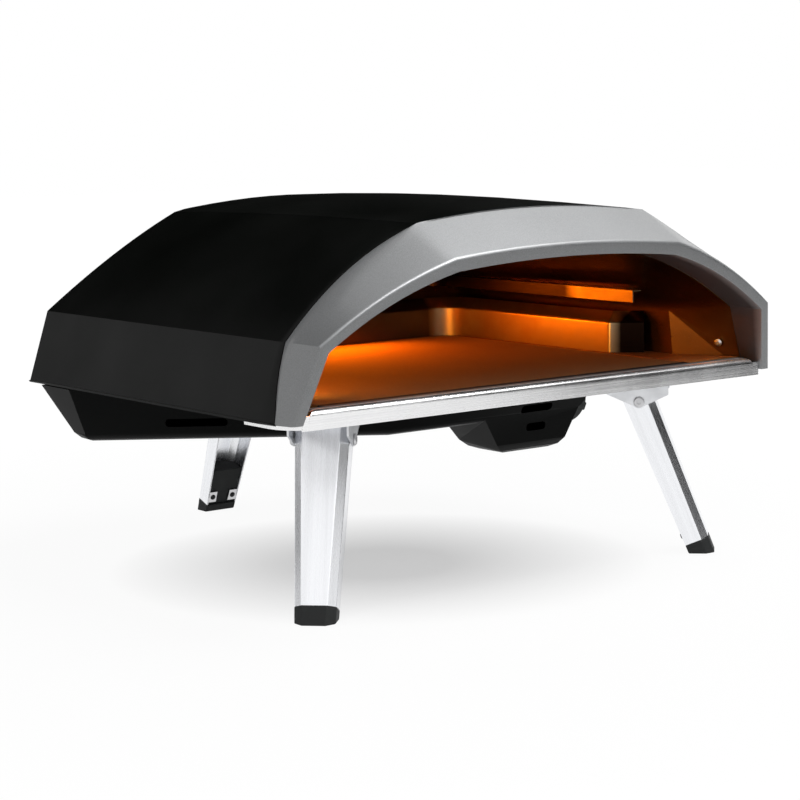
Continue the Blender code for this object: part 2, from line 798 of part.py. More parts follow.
def liner_half_at(height):
    """Half width inside the liner's shoulder at this height."""
    outline = inset(liner_outline(LINER_BACK), -LINER_SHEET)
    for (x, z), (next_x, next_z) in zip(outline, outline[1:]):
        if z <= height <= next_z:
            return x + (next_x - x) * (height - z) / (next_z - z)
    return LINER_TOP[0]


def make_deflector(looks):
    top = DEFLECTOR_BOTTOM + DEFLECTOR_RISE
    reach = DEFLECTOR_REACH
    line_x = liner_half_at(top) - reach - GAP
    line_y = LINER_BACK - reach - GAP
    path = [(line_x, DEFLECTOR_FRONT)]
    path += arc((line_x - GUARD_CORNER, line_y - GUARD_CORNER), GUARD_CORNER, 0, 90)
    path.append((DEFLECTOR_LEFT, line_y))
    outer = [(0, DEFLECTOR_BOTTOM), (0, top), (reach, top)]
    profile = outer + list(reversed(inset(outer, GUARD_SHEET)))
    sweep("flame_deflector", path, profile, looks["steel"])


def make_burner(looks):
    path = [
        (BURNER_X, BURNER_FRONT, BURNER_Z),
        (BURNER_X, BURNER_Y, BURNER_Z),
        (BURNER_LEFT, BURNER_Y, BURNER_Z),
    ]
    tube("burner_tube", bend(path, BURNER_CORNER), BURNER_RADIUS, looks["burner"], SMALL_SIDES)
    base = STONE_TOP + GAP
    cradle = BURNER_RADIUS + GAP
    half = SUPPORT_DEPTH / 2
    outline = [(-half, base), (half, base), (half, BURNER_Z)]
    outline += arc((0, BURNER_Z), cradle, 0, -180, 2 * CORNER_STEPS)
    outline.append((-half, BURNER_Z))
    outline = [(max(min(x, half), -half), z) for x, z in outline]
    places = {
        "burner_support_front": (BURNER_X, BURNER_FRONT + SUPPORT_WIDTH, 0),
        "burner_support_rear": (BURNER_LEFT + SUPPORT_WIDTH, BURNER_Y, math.pi / 2),
    }
    for name, (x, y, turn) in places.items():
        support = prism(name, outline, along_y, -SUPPORT_WIDTH / 2, SUPPORT_WIDTH / 2, looks["steel"])
        support.location = (x, y, 0)
        support.rotation_euler = (0, 0, turn)


def make_igniter(looks):
    base = STONE_TOP + GAP
    y = BURNER_Y + BURNER_RADIUS + 2 * GAP + CERAMIC_RADIUS
    profile = [(CERAMIC_RADIUS, 0), (CERAMIC_RADIUS, CERAMIC_HEIGHT)]
    ceramic = turned("igniter_ceramic", profile, looks["ceramic"], SMALL_SIDES)
    ceramic.location = (IGNITER_X, y, base)
    foot = base + CERAMIC_HEIGHT + GAP
    top = foot + TIP_RISE
    path = [(IGNITER_X, y, foot), (IGNITER_X, y, top), (IGNITER_X, BURNER_Y, top)]
    tube("igniter_tip", bend(path, TIP_BEND), TIP_RADIUS, looks["steel"], HEX_SIDES)


# Belly pan


def pan_plan(depth, spread):
    """Plan of the pan at its bottom plus an outward spread, less a skin of this depth."""
    corners = [
        (PAN_LEFT, PAN_BACK),
        (PAN_LEFT, PAN_LEFT_FRONT),
        (PAN_FRONT_LEFT, PAN_FRONT),
        (PAN_RIGHT, PAN_FRONT),
        (PAN_RIGHT, PAN_BACK),
        (RECESS_HALF, PAN_BACK),
        (RECESS_HALF, RECESS_FRONT),
        (-RECESS_HALF, RECESS_FRONT),
        (-RECESS_HALF, PAN_BACK),
    ]
    grown = inset(corners, spread - depth, closed=True)
    flank = RECESS_HALF + depth
    back = grown[0][1]
    front = RECESS_FRONT - depth
    grown[-4:] = [(flank, back), (flank, front), (-flank, front), (-flank, back)]
    return grown


def pan_volume(name, depth, look=None):
    """The pan's outer shape, or its inside where a skin depth is given."""
    bottom = PAN_BOTTOM + depth
    rim = PAN_TOP + (OVERRUN if depth else 0)
    edge = max(PAN_EDGE - depth, GAP)
    slope = PAN_SPREAD / (PAN_TOP - PAN_BOTTOM)
    rings = []
    part = edge * EDGE_SHARE
    for height, shrink in ((bottom, edge), (bottom + part, part), (bottom + edge, 0), (rim, 0)):
        spread = slope * (height - PAN_BOTTOM) - shrink
        rings.append([(x, y, height) for x, y in pan_plan(depth, spread)])
    return loft(name, rings, look)


def valve_box_volume(name, depth):
    """The deeper box below the pan's front right corner."""
    bottom = BOX_BOTTOM + depth
    edge = max(BOX_EDGE - depth, GAP)
    top = PAN_BOTTOM + PAN_EDGE + OVERRUN
    rise = PAN_BOTTOM - BOX_BOTTOM
    slope = math.tan(PAN_LEAN)
    rings = []
    joint = PAN_BOTTOM + PAN_EDGE
    part = edge * EDGE_SHARE
    levels = ((bottom, edge), (bottom + part, part), (bottom + edge, 0), (joint, 0), (top, 0))
    for height, shrink in levels:
        up = height - BOX_BOTTOM
        left = BOX_LEFT - BOX_LEFT_SPREAD * up / rise + depth + shrink
        above = height - PAN_BOTTOM
        right = PAN_RIGHT + slope * min(above, PAN_EDGE) - depth - shrink - BOX_STEP
        front = PAN_FRONT - BOX_FRONT_SHARE * slope * above + depth + shrink
        back = BOX_BACK + BOX_BACK_SPREAD * up / rise - depth - shrink
        rings.append([(x, y, height) for x, y in box_outline(left, right, front, back)])
    return loft(name, rings)


def knob_wall():
    """Where the knob's axis leaves the pan's right wall."""
    slope = math.tan(PAN_LEAN)
    return (PAN_RIGHT + slope * (KNOB_WALL_Z - PAN_BOTTOM), KNOB_Y, KNOB_WALL_Z)


def knob_turn():
    return (0, math.pi / 2 + PAN_LEAN, 0)


def knob_point(distance):
    """A point on the knob's axis at this distance out from the pan's wall."""
    x, y, z = knob_wall()
    return (x + distance * math.cos(PAN_LEAN), y, z - distance * math.sin(PAN_LEAN))


def on_knob_axis(obj):
    obj.location = knob_wall()
    obj.rotation_euler = knob_turn()
    return obj


def lug_places():
    """The middle of each screw lug of the pan, with the side that it stands out to."""
    front = PAN_FRONT - PAN_SPREAD - LUG_REACH / 2
    back = PAN_BACK + PAN_SPREAD + LUG_REACH / 2
    return [(x, front, -1) for x in LUG_FRONT_X] + [(x, back, 1) for x in LUG_BACK_X]


def make_pan(looks):
    pan = pan_volume("belly_pan", 0, looks["pan"])
    join(pan, valve_box_volume("valve_box", 0))
    lug_top = PAN_TOP - GAP
    half = LUG_WIDTH / 2
    for i, (x, y, side) in enumerate(lug_places()):
        inner = y - side * (LUG_REACH / 2 + 2 * SHEET)
        outer = y + side * LUG_REACH / 2
        low, high = sorted((inner, outer))
        outline = rounded(box_outline(x - half, x + half, low, high), (LUG_ROUND,) * 4)
        join(pan, prism(f"pan_lug_{i + 1}", outline, along_z, lug_top - SHEET, lug_top))
    cut(pan, pan_volume("pan_hollow", SHEET), valve_box_volume("valve_box_hollow", SHEET))
    for i, (x, y, _) in enumerate(lug_places()):
        hole = circle(SCREW_RADIUS + GAP, SMALL_SIDES, (x, y))
        cut(pan, prism(f"pan_lug_hole_{i + 1}", hole, along_z, PAN_TOP - LUG_REACH, PAN_TOP + OVERRUN))
    for i, (length, height, place) in enumerate(zip(SLOT_LENGTHS, SLOT_HEIGHTS, SLOT_PLACES)):
        middle = PAN_RIGHT - place
        reach = length / 2
        rise = SLOT_HEIGHT / 2
        outline = box_outline(middle - reach, middle + reach, height - rise, height + rise)
        outline = rounded(outline, (SLOT_ROUND,) * 4)
        cut(pan, prism(f"front_slot_{i + 1}", outline, along_y, PAN_FRONT - OVERRUN, PAN_FRONT + OVERRUN / 2))
    cut(pan, make_side_slot(), make_knob_hole(), make_inlet_hole())


def make_side_slot():
    """The slot in the pan's slanting left side, square to it in plan."""
    start = Vector((PAN_LEFT, PAN_LEFT_FRONT))
    end = Vector((PAN_FRONT_LEFT, PAN_FRONT))
    along = (end - start).normalized()
    height = PAN_TOP - SIDE_SLOT_DROP
    outward = Vector((along.y, -along.x)) * math.tan(PAN_LEAN) * (height - PAN_BOTTOM)
    place = start + along * SIDE_SLOT_PLACE + outward
    reach = SIDE_SLOT_LENGTH / 2
    rise = SLOT_HEIGHT / 2
    outline = rounded(box_outline(-reach, reach, -rise, rise), (SLOT_ROUND,) * 4)
    slot = prism("side_slot", outline, along_y, -OVERRUN / 2, OVERRUN / 2)
    slot.location = (*place, height)
    slot.rotation_euler = (0, 0, math.atan2(along.y, along.x))
    return slot


def make_knob_hole():
    outline = circle(STEM_RADIUS + TURNING_GAP, ROUND_SIDES)
    hole = prism("knob_hole", outline, along_z, -OVERRUN / 2, OVERRUN / 2)
    for side in (-1, 1):
        outline = circle(SCREW_RADIUS + GAP, SMALL_SIDES, (side * VALVE_SCREW_PLACE, 0))
        screw = prism("valve_screw_hole", outline, along_z, -OVERRUN / 2, OVERRUN / 2)
        join(hole, on_knob_axis(screw))
    return on_knob_axis(hole)


def make_inlet_hole():
    outline = circle(INLET_RADIUS + GAP, SMALL_SIDES, (INLET_X, PAN_BOTTOM + INLET_RISE))
    back = PAN_BACK + PAN_SPREAD + OVERRUN
    return prism("inlet_hole", outline, along_y, PAN_BACK - OVERRUN, back)


def make_screw(name, place, look, shank, turn=(0, 0, 0)):
    """A round-headed screw with its shank along its own +Z and its head under the origin."""
    profile = [
        (SCREW_HEAD_RADIUS / 2, -SCREW_HEAD_HEIGHT),
        (SCREW_HEAD_RADIUS, -SCREW_HEAD_HEIGHT / 2),
        (SCREW_HEAD_RADIUS, 0),
        (SCREW_RADIUS, 0),
        (SCREW_RADIUS, shank),
    ]
    screw = turned(name, profile, look, SMALL_SIDES)
    screw.location = place
    screw.rotation_euler = turn


def floor_cutter(name, outline):
    """A cutter right through the floor plate."""
    return prism(name, outline, along_z, FLOOR_BOTTOM - OVERRUN, FLOOR_TOP + OVERRUN)


def make_pan_screws(looks, floor):
    lug_bottom = PAN_TOP - GAP - SHEET
    for i, (x, y, _) in enumerate(lug_places()):
        place = (x, y, lug_bottom - GAP)
        make_screw(f"pan_screw_{i + 1}", place, looks["steel"], FLOOR_TOP - lug_bottom)
        hole = circle(SCREW_RADIUS + GAP, SMALL_SIDES, (x, y))
        cut(floor, floor_cutter(f"floor_screw_hole_{i + 1}", hole))


# Valve, knob and gas way


def flat_circle(radius, flat, sides=ROUND_SIDES):
    """A round outline with one flat side, as on a valve stem."""
    return [(min(x, flat), y) for x, y in circle(radius, sides)]


def make_valve(looks, floor):
    front = -SHEET - GAP
    half = VALVE_WIDTH / 2
    body_outline = rounded(box_outline(-half, half, -half, half), (VALVE_ROUND,) * 4)
    body = prism("valve_body", body_outline, along_z, front - VALVE_LENGTH, front, looks["brass"])
    on_knob_axis(body)
    plug_front = front - PLUG_SETBACK
    plug_back = plug_front - PLUG_LENGTH
    riser = (BURNER_X, KNOB_Y)
    boss = circle(BOSS_RADIUS, ROUND_SIDES, riser)
    join(body, prism("valve_boss", boss, along_z, KNOB_WALL_Z, BOSS_TOP))
    bore_profile = [
        (PLUG_TIP_RADIUS + TURNING_GAP, plug_back - TURNING_GAP),
        (PLUG_RADIUS + TURNING_GAP, plug_front),
        (PLUG_RADIUS + TURNING_GAP, front + OVERRUN),
    ]
    bore = on_knob_axis(turned("valve_bore", bore_profile, None))
    way = circle(GAS_WAY, SMALL_SIDES, riser)
    gas_way = prism("valve_gas_way", way, along_z, KNOB_WALL_Z, BOSS_TOP + OVERRUN)
    side_way = circle(GAS_WAY, SMALL_SIDES, supply_end())
    supply = prism("valve_supply_way", side_way, along_y, KNOB_Y, KNOB_Y + VALVE_WIDTH)
    cut(body, bore, gas_way, supply)
    make_valve_screws(looks, body, front)
    make_plug(looks, front)
    make_riser(looks, floor, riser)


def make_valve_screws(looks, body, front):
    for i, side in enumerate((-1, 1)):
        outline = circle(SCREW_RADIUS + GAP, SMALL_SIDES, (side * VALVE_SCREW_PLACE, 0))
        deep = front - VALVE_SCREW_DEPTH - GAP
        bore = prism(f"valve_screw_bore_{i + 1}", outline, along_z, deep, front + OVERRUN)
        cut(body, on_knob_axis(bore))
        x, y, z = knob_point(GAP)
        across = Vector((side * VALVE_SCREW_PLACE, 0, 0))
        across.rotate(Matrix.Rotation(knob_turn()[1], 3, "Y"))
        place = (x + across.x, y, z + across.z)
        turn = (0, knob_turn()[1] + math.pi, 0)
        shank = SHEET + GAP + VALVE_SCREW_DEPTH
        make_screw(f"valve_screw_{i + 1}", place, looks["steel"], shank, turn)


def make_plug(looks, front):
    plug_front = front - PLUG_SETBACK
    plug_back = plug_front - PLUG_LENGTH
    plug_profile = [(PLUG_TIP_RADIUS, plug_back), (PLUG_RADIUS, plug_front)]
    plug = on_knob_axis(turned("valve_plug", plug_profile, looks["brass"]))
    outline = flat_circle(PLUG_BORE, STEM_FLAT + TURNING_GAP)
    socket = prism("plug_socket", outline, along_z, -PLUG_BORE_DEPTH, front + OVERRUN)
    cut(plug, on_knob_axis(socket))
    outline = circle(GAS_WAY, SMALL_SIDES, (0, plug_port_place()))
    port = prism("plug_port", outline, along_x, 0, PLUG_RADIUS + OVERRUN)
    cut(plug, on_knob_axis(port))


def make_riser(looks, floor, riser):
    """The jet and the tube that lead the gas up to the burner."""
    jet_base = BOSS_TOP + GAP
    jet_profile = [(JET_RADIUS, 0), (JET_RADIUS, JET_HEIGHT / 2), (JET_RADIUS / 2, JET_HEIGHT)]
    jet = turned("gas_jet", jet_profile, looks["brass"], HEX_SIDES)
    jet.location = (BURNER_X, KNOB_Y, jet_base)
    pipe_bottom = jet_base + JET_HEIGHT + GAP
    pipe_top = BURNER_Z - BURNER_RADIUS - GAP
    outline = circle(PIPE_RADIUS, ROUND_SIDES, riser)
    pipe = prism("mixing_tube", outline, along_z, pipe_bottom, pipe_top, looks["steel"])
    bore = circle(PIPE_RADIUS - SHEET, ROUND_SIDES, riser)
    cut(pipe, prism("mixing_tube_bore", bore, along_z, pipe_bottom - OVERRUN, pipe_top + OVERRUN))
    hole = circle(PIPE_RADIUS + GAP, ROUND_SIDES, riser)
    cut(floor, floor_cutter("floor_pipe_hole", hole))


def plug_port_place():
    """How far along the knob's axis the gas leaves the plug for the burner."""
    return (BURNER_X - knob_wall()[0]) / math.cos(PAN_LEAN)


def supply_end():
    """Where the supply pipe meets the valve's side, as (x, z)."""
    x, _, z = knob_point(SUPPLY_PLACE)
    return (x, z)


def make_knob(looks):
    face = KNOB_GAP + KNOB_HEIGHT - KNOB_GRIP_HEIGHT
    profile = [(KNOB_RADIUS, KNOB_GAP), (KNOB_RADIUS, face - SHEET), (KNOB_RADIUS - SHEET, face)]
    knob = turned("control_knob", profile, looks["knob"], 2 * ROUND_SIDES)
    inside = KNOB_RADIUS - KNOB_WALL
    hollow = turned("knob_hollow", [(inside, -OVERRUN), (inside, face - KNOB_CAP)], None, 2 * ROUND_SIDES)
    hub_profile = [(KNOB_HUB_RADIUS, KNOB_HUB_BOTTOM), (KNOB_HUB_RADIUS, face - KNOB_CAP / 2)]
    hub = turned("knob_hub", hub_profile, None)
    half = KNOB_GRIP_WIDTH / 2
    reach = KNOB_RADIUS - 2 * SHEET
    grip_outline = rounded(box_outline(-half, half, -reach, reach), (KNOB_GRIP_ROUND,) * 4)
    grip = prism("knob_grip", grip_outline, along_z, face - KNOB_CAP / 2, face + KNOB_GRIP_HEIGHT)
    stem_top = face - KNOB_CAP / 2
    socket_outline = flat_circle(STEM_RADIUS + GAP, STEM_FLAT + GAP)
    socket = prism("knob_socket", socket_outline, along_z, -OVERRUN, stem_top)
    cut(knob, on_knob_axis(hollow))
    join(knob, on_knob_axis(hub), on_knob_axis(grip))
    cut(knob, on_knob_axis(socket))
    on_knob_axis(knob)
    stem_outline = flat_circle(STEM_RADIUS, STEM_FLAT)
    stem = prism("valve_stem", stem_outline, along_z, -STEM_DEPTH, stem_top - GAP, looks["steel"])
    on_knob_axis(stem)


def make_supply(looks):
    wall_slope = PAN_SPREAD / (PAN_TOP - PAN_BOTTOM)
    height = PAN_BOTTOM + INLET_RISE
    wall_y = PAN_BACK + wall_slope * INLET_RISE
    collar = wall_slope * (INLET_HEX + GAP) + GAP
    hex_front = wall_y + collar
    hex_back = hex_front + INLET_HEX_LENGTH
    shank_front = wall_y - collar - SHEET
    tail_back = hex_back + INLET_LENGTH
    centre = (INLET_X, height)
    nut = circle(INLET_HEX, HEX_SIDES, centre)
    hexagon = prism("gas_inlet", nut, along_y, hex_front, hex_back, looks["brass"])
    tail = prism("inlet_tail", circle(INLET_RADIUS, ROUND_SIDES, centre), along_y, shank_front, tail_back)
    way = circle(GAS_WAY, SMALL_SIDES, centre)
    bore = prism("inlet_bore", way, along_y, shank_front - OVERRUN, tail_back + OVERRUN)
    join(hexagon, tail)
    cut(hexagon, bore)
    valve_x, valve_z = supply_end()
    path = [
        (INLET_X, shank_front - GAP, height),
        (INLET_X, SUPPLY_TURN_Y + SUPPLY_CROSSING, height),
        (valve_x, SUPPLY_TURN_Y, valve_z),
        (valve_x, KNOB_Y + VALVE_WIDTH / 2 + GAP, valve_z),
    ]
    tube("supply_pipe", bend(path, SUPPLY_BEND), SUPPLY_RADIUS, looks["brass"])


# Legs


def leg_section(down, grow=0):
    """Half width, half depth and chamfer of the leg at this distance below its hinge."""
    share = down / LEG_RUN
    half_width = (LEG_WIDTH + (LEG_FOOT_WIDTH - LEG_WIDTH) * share) / 2 + grow
    half_depth = (LEG_DEPTH + (LEG_FOOT_DEPTH - LEG_DEPTH) * share) / 2 + grow
    return half_width, half_depth, LEG_CHAMFER


def leg_outline(down, grow=0):
    """The leg's outer outline from the open side's left edge round to its right edge; +Y is outwards."""
    half_width, half_depth, chamfer = leg_section(down, grow)
    return [
        (-half_width, -half_depth),
        (-half_width, half_depth - chamfer),
        (-half_width + chamfer, half_depth),
        (half_width - chamfer, half_depth),
        (half_width, half_depth - chamfer),
        (half_width, -half_depth),
    ]


def ground_plane():
    """The ground in the leg's own frame, facing down."""
    return (Vector((0, 0, -LEG_RUN)), Vector((0, -math.sin(LEG_TILT), -math.cos(LEG_TILT))))


def square_plane(down, facing=1):
    """A plane square to the leg at this distance below its hinge, facing up, or down with facing -1."""
    return (Vector((0, 0, -down)), Vector((0, 0, facing)))


def leg_loft(name, outline_at, planes, look=None):
    """A tapering body along the leg, through the outlines of outline_at(down), cut off at the planes."""
    rings = []
    for down in (-LEG_SPARE, LEG_RUN + LEG_SPARE):
        rings.append([(x, y, -down) for x, y in outline_at(down)])
    return finish(name, trim(loft_mesh(rings), planes), look)


def channel_outline(down):
    outer = leg_outline(down)
    return outer + list(reversed(inset(outer, LEG_SHEET)))


def insert_outline(down):
    near = LEG_SHEET + 2 * GAP - leg_section(down)[1]
    return [(x, max(y, near)) for x, y in inset(leg_outline(down), LEG_SHEET + GAP)]


def make_leg(name, hinge, turn, looks):
    """A leg with its foot and hinge, turned so that its outer side faces away from the oven."""
    base = (*hinge, HINGE_HEIGHT)
    pivot = empty(f"{name}_pivot", base, (LEG_TILT, 0, turn))
    carrier = empty(f"{name}_carrier", base, (0, 0, turn))
    half_depth = leg_section(0)[1]
    head_slope = (LEG_HEAD - LEG_HEAD_INNER) / (2 * half_depth)
    head_plane = (Vector((0, 0, (LEG_HEAD + LEG_HEAD_INNER) / 2)), Vector((0, -head_slope, 1)).normalized())
    end_plane = square_plane(LEG_RUN - FOOT_HEIGHT - GAP, -1)
    leg = leg_loft(name, channel_outline, [head_plane, end_plane], looks["leg"])
    tab_up = LEG_RUN - TAB_TOP
    tab_down = LEG_RUN - TAB_BOTTOM
    for side in (-1, 1):
        rings = []
        for down in (tab_down, tab_up):
            width, depth, _ = leg_section(down)
            near = GAP - depth
            edge = side * (width - LEG_SHEET / 2)
            inward = side * (width - TAB_REACH)
            outline = box_outline(inward, edge, near, near + LEG_SHEET)
            rings.append([(x, y, -down) for x, y in outline])
        tab = loft(f"{name}_tab", rings)
        attach(pivot, tab)
        join(leg, tab)
    for side in (-1, 1):
        outline = circle(BUTTON_RADIUS + GAP, SMALL_SIDES, button_place(side))
        hole = prism(f"{name}_button_hole", outline, along_y, -half_depth, 0)
        attach(pivot, hole)
        cut(leg, hole)
    pin_outline = circle(PIN_RADIUS + PIN_CLEARANCE, ROUND_SIDES)
    pin_hole = prism(f"{name}_pin_hole", pin_outline, along_x, -LEG_WIDTH, LEG_WIDTH)
    attach(pivot, pin_hole, leg)
    cut(leg, pin_hole)
    make_foot(name, pivot, looks)
    make_bracket(name, carrier, looks)


def button_place(side):
    down = LEG_RUN - (TAB_TOP + TAB_BOTTOM) / 2
    return (side * (leg_section(down)[0] - TAB_REACH / 2 - LEG_SHEET / 2), -down)


def make_foot(name, pivot, looks):
    """The rubber foot: a cap that carries on the leg's shape, with an insert up inside its channel."""
    foot_name = name.replace("leg", "foot")
    cap = leg_loft(
        foot_name,
        lambda down: leg_outline(down, FOOT_PROUD),
        [ground_plane(), square_plane(LEG_RUN - FOOT_HEIGHT)],
        looks["rubber"],
    )
    insert_planes = [square_plane(LEG_RUN - FOOT_HEIGHT / 2, -1), square_plane(LEG_RUN - INSERT_HEIGHT)]
    insert = leg_loft(f"{foot_name}_insert", insert_outline, insert_planes)
    attach(pivot, cap, insert)
    join(cap, insert)
    half_depth = leg_section(LEG_RUN - (TAB_TOP + TAB_BOTTOM) / 2)[1]
    for side in (-1, 1):
        outline = circle(BUTTON_RADIUS, SMALL_SIDES, button_place(side))
        button = prism(f"{foot_name}_button", outline, along_y, GAP - half_depth - BUTTON_PROUD, 0)
        attach(pivot, button)
        join(cap, button)


def make_bracket(name, carrier, looks):
    ear_in = LEG_WIDTH / 2 + EAR_GAP
    ear_out = ear_in + BRACKET_SHEET
    top = HINGE_DROP + BRACKET_SHEET
    section = [(-ear_out, -EAR_TIP), (-ear_in, -EAR_TIP), (-ear_in, HINGE_DROP), (ear_in, HINGE_DROP)]
    section += [(ear_in, -EAR_TIP), (ear_out, -EAR_TIP), (ear_out, top), (-ear_out, top)]
    bracket_name = name.replace("leg", "bracket")
    bracket = prism(bracket_name, section, along_y, -EAR_INNER, EAR_OUTER, looks["leg"])
    inner = -EAR_INNER - OVERRUN
    outer = EAR_OUTER + OVERRUN
    shoulder = HINGE_DROP - BRACKET_SHEET
    side_view = [(inner, shoulder)]
    side_view += arc((0, 0), EAR_TIP - GAP, EAR_TIP_START, EAR_TIP_END)
    side_view += [(outer, shoulder), (outer, top + OVERRUN), (inner, top + OVERRUN)]
    trim = prism(f"{name}_ear_trim", side_view, along_x, -LEG_WIDTH, LEG_WIDTH)
    combine(bracket, trim, "INTERSECT")
    ear_hole = circle(PIN_RADIUS + GAP, ROUND_SIDES)
    pin_hole = prism(f"{name}_ear_hole", ear_hole, along_x, -LEG_WIDTH, LEG_WIDTH)
    cut(bracket, pin_hole)
    attach(carrier, bracket, trim, pin_hole)
    make_pin(name, carrier, ear_out + GAP, looks)
    make_rivets(name, carrier, bracket, looks)


def make_pin(name, carrier, head, looks):
    """The hinge pin with its hollow ends; its heads start at this distance from the middle."""
    tip = head + PIN_HEAD
    end = [
        (PIN_HOLLOW_RADIUS, tip - PIN_HOLLOW_DEPTH),
        (PIN_HOLLOW_RADIUS, tip),
        (PIN_HEAD_FACE, tip),
        (PIN_HEAD_RADIUS, head + PIN_HEAD / 2),
        (PIN_HEAD_RADIUS, head),
        (PIN_RADIUS, head),
    ]
    profile = [(radius, -height) for radius, height in end] + list(reversed(end))
    pin = turned(name.replace("leg", "hinge_pin"), profile, looks["steel"])
    pin.rotation_euler = (0, math.pi / 2, 0)
    attach(carrier, pin)


def make_rivets(name, carrier, bracket, looks):
    for i, side in enumerate((-1, 1)):
        rivet_name = name.replace("leg", "rivet")
        low = HINGE_DROP - GAP
        shank_top = PLATE_TOP - HINGE_HEIGHT - GAP
        profile = [
            (RIVET_HEAD_RADIUS / 2, low - RIVET_HEAD),
            (RIVET_HEAD_RADIUS, low - RIVET_HEAD / 2),
            (RIVET_HEAD_RADIUS, low),
            (RIVET_RADIUS, low),
            (RIVET_RADIUS, shank_top),
        ]
        rivet = turned(f"{rivet_name}_{i + 1}", profile, looks["steel"], SMALL_SIDES)
        rivet.location = (0, side * RIVET_PLACE, 0)
        outline = circle(RIVET_RADIUS + GAP, SMALL_SIDES, (0, side * RIVET_PLACE))
        hole = prism(f"{rivet_name}_hole", outline, along_z, 0, HINGE_DROP + OVERRUN)
        attach(carrier, rivet, hole)
        cut(bracket, hole)


def make_plates(looks):
    low = PLATE_BOTTOM
    high = PLATE_TOP
    left = box_outline(-PLATE_OUTER, -PLATE_INNER, PLATE_FRONT, PLATE_BACK)
    right = box_outline(PLATE_INNER, PLATE_OUTER, PLATE_FRONT, PLATE_BACK)
    rear = box_outline(-REAR_PLATE_HALF, REAR_PLATE_HALF, REAR_PLATE_FRONT, REAR_HINGE_Y + EAR_OUTER)
    hinge_x, hinge_y = FRONT_HINGE
    plates = {
        "leg_plate_left": (left, -hinge_x, hinge_y, LEFT_LEG_TURN),
        "leg_plate_right": (right, hinge_x, hinge_y, RIGHT_LEG_TURN),
        "leg_plate_rear": (rear, 0, REAR_HINGE_Y, 0),
    }
    for name, (outline, x, y, turn) in plates.items():
        plate = prism(name, rounded(outline, (PLATE_ROUND,) * 4), along_z, low, high, looks["steel"])
        for i, side in enumerate((-1, 1)):
            place = (x - side * RIVET_PLACE * math.sin(turn), y + side * RIVET_PLACE * math.cos(turn))
            hole = circle(RIVET_RADIUS + GAP, SMALL_SIDES, place)
            cut(plate, prism(f"{name}_hole_{i + 1}", hole, along_z, low - OVERRUN, high + OVERRUN))


def flare_wall(y, z):
    """A point on the outside of the liner's right flare, low down, at this place and height."""
    share = (y - RETURN_BACK) / (LINER_FLARE_BACK - RETURN_BACK)
    mouth_foot = Vector((RIM_FOOT[0] + SHEET, LINER_BOTTOM))
    mouth_crease = Vector((RIM_CREASE[0] + SHEET, RIM_CREASE[-1]))
    foot = mouth_foot.lerp(Vector((LINER_FOOT_HALF, LINER_BOTTOM)), share)
    crease = mouth_crease.lerp(Vector(LINER_CREASE), share)
    half = foot.lerp(crease, (z - foot.y) / (crease.y - foot.y)).x
    return Vector((half, y, z))


def make_liner_screws(liner, looks):
    """A screw low in each flared side of the liner, square to the sheet."""
    wall = flare_wall(LINER_SCREW_Y, LINER_SCREW_Z)
    back = flare_wall(LINER_FLARE_BACK, LINER_SCREW_Z)
    above = flare_wall(LINER_SCREW_Y, LINER_CREASE[1])
    normal = (back - wall).cross(above - wall).normalized()
    if normal.x < 0:
        normal = -normal
    seat = wall - normal * (LINER_SHEET + LINER_SCREW_GAP)
    for name, side in (("liner_screw_left", -1), ("liner_screw_right", 1)):
        outward = Vector((side * normal.x, normal.y, normal.z))
        place = (side * seat.x, seat.y, seat.z)
        spin = outward.to_track_quat("Z", "Y").to_euler()
        outline = circle(SCREW_RADIUS + GAP, ROUND_SIDES)
        hole = prism(f"{name}_hole", outline, along_z, -OVERRUN / 2, OVERRUN / 2)
        hole.location = place
        hole.rotation_euler = spin
        cut(liner, hole)
        make_screw(name, place, looks["steel"], LINER_SCREW_LENGTH, spin)


def make_looks():
    return {
        "shell": material("shell", (0.014, 0.016, 0.014), 0.45, 0),
        "fascia": material("fascia", (0.2, 0.205, 0.21), 0.4, 0.3),
        "sill": material("sill", (0.62, 0.62, 0.62), 0.3, 1),
        "floor": material("floor", (0.5, 0.5, 0.5), 0.4, 1),
        "stone": material("stone", (0.62, 0.52, 0.4), 0.9, 0),
        "liner": material("liner", (0.45, 0.44, 0.42), 0.35, 1),
        "steel": material("steel", (0.6, 0.6, 0.6), 0.3, 1),
        "burner": material("burner", (0.4, 0.38, 0.35), 0.4, 1),
        "brass": material("brass", (0.6, 0.45, 0.2), 0.35, 1),
        "ceramic": material("ceramic", (0.8, 0.8, 0.78), 0.4, 0),
        "pan": material("pan", (0.008, 0.008, 0.008), 0.5, 0),
        "knob": material("knob", (0.01, 0.01, 0.01), 0.5, 0),
        "leg": material("leg", (0.62, 0.63, 0.65), 0.3, 1),
        "rubber": material("rubber", (0.01, 0.01, 0.01), 0.8, 0),
    }


def main():
    for obj in list(bpy.data.objects):
        bpy.data.objects.remove(obj)
    looks = make_looks()
    make_shell(looks)
    make_fascia(looks)
    floor = make_floor(looks)
    make_sill(looks)
    make_stone(looks)
    liner = make_liner(looks)
    make_liner_screws(liner, looks)
    make_shelf(looks)
    make_guard(looks)
    make_deflector(looks)
    make_burner(looks)
    make_igniter(looks)
    make_pan(looks)
    make_pan_screws(looks, floor)
    make_valve(looks, floor)
    make_knob(looks)
    make_supply(looks)
    make_plates(looks)
    make_leg("leg_front_left", (-FRONT_HINGE[0], FRONT_HINGE[1]), LEFT_LEG_TURN, looks)
    make_leg("leg_front_right", FRONT_HINGE, RIGHT_LEG_TURN, looks)
    make_leg("leg_rear", (0, REAR_HINGE_Y), 0, looks)


main()
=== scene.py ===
"""Portable gas pizza oven: its skins, chamber, gas parts, folding legs, finishes and stage.

Metres, +Z up, the mouth towards -Y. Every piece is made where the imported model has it.
"""

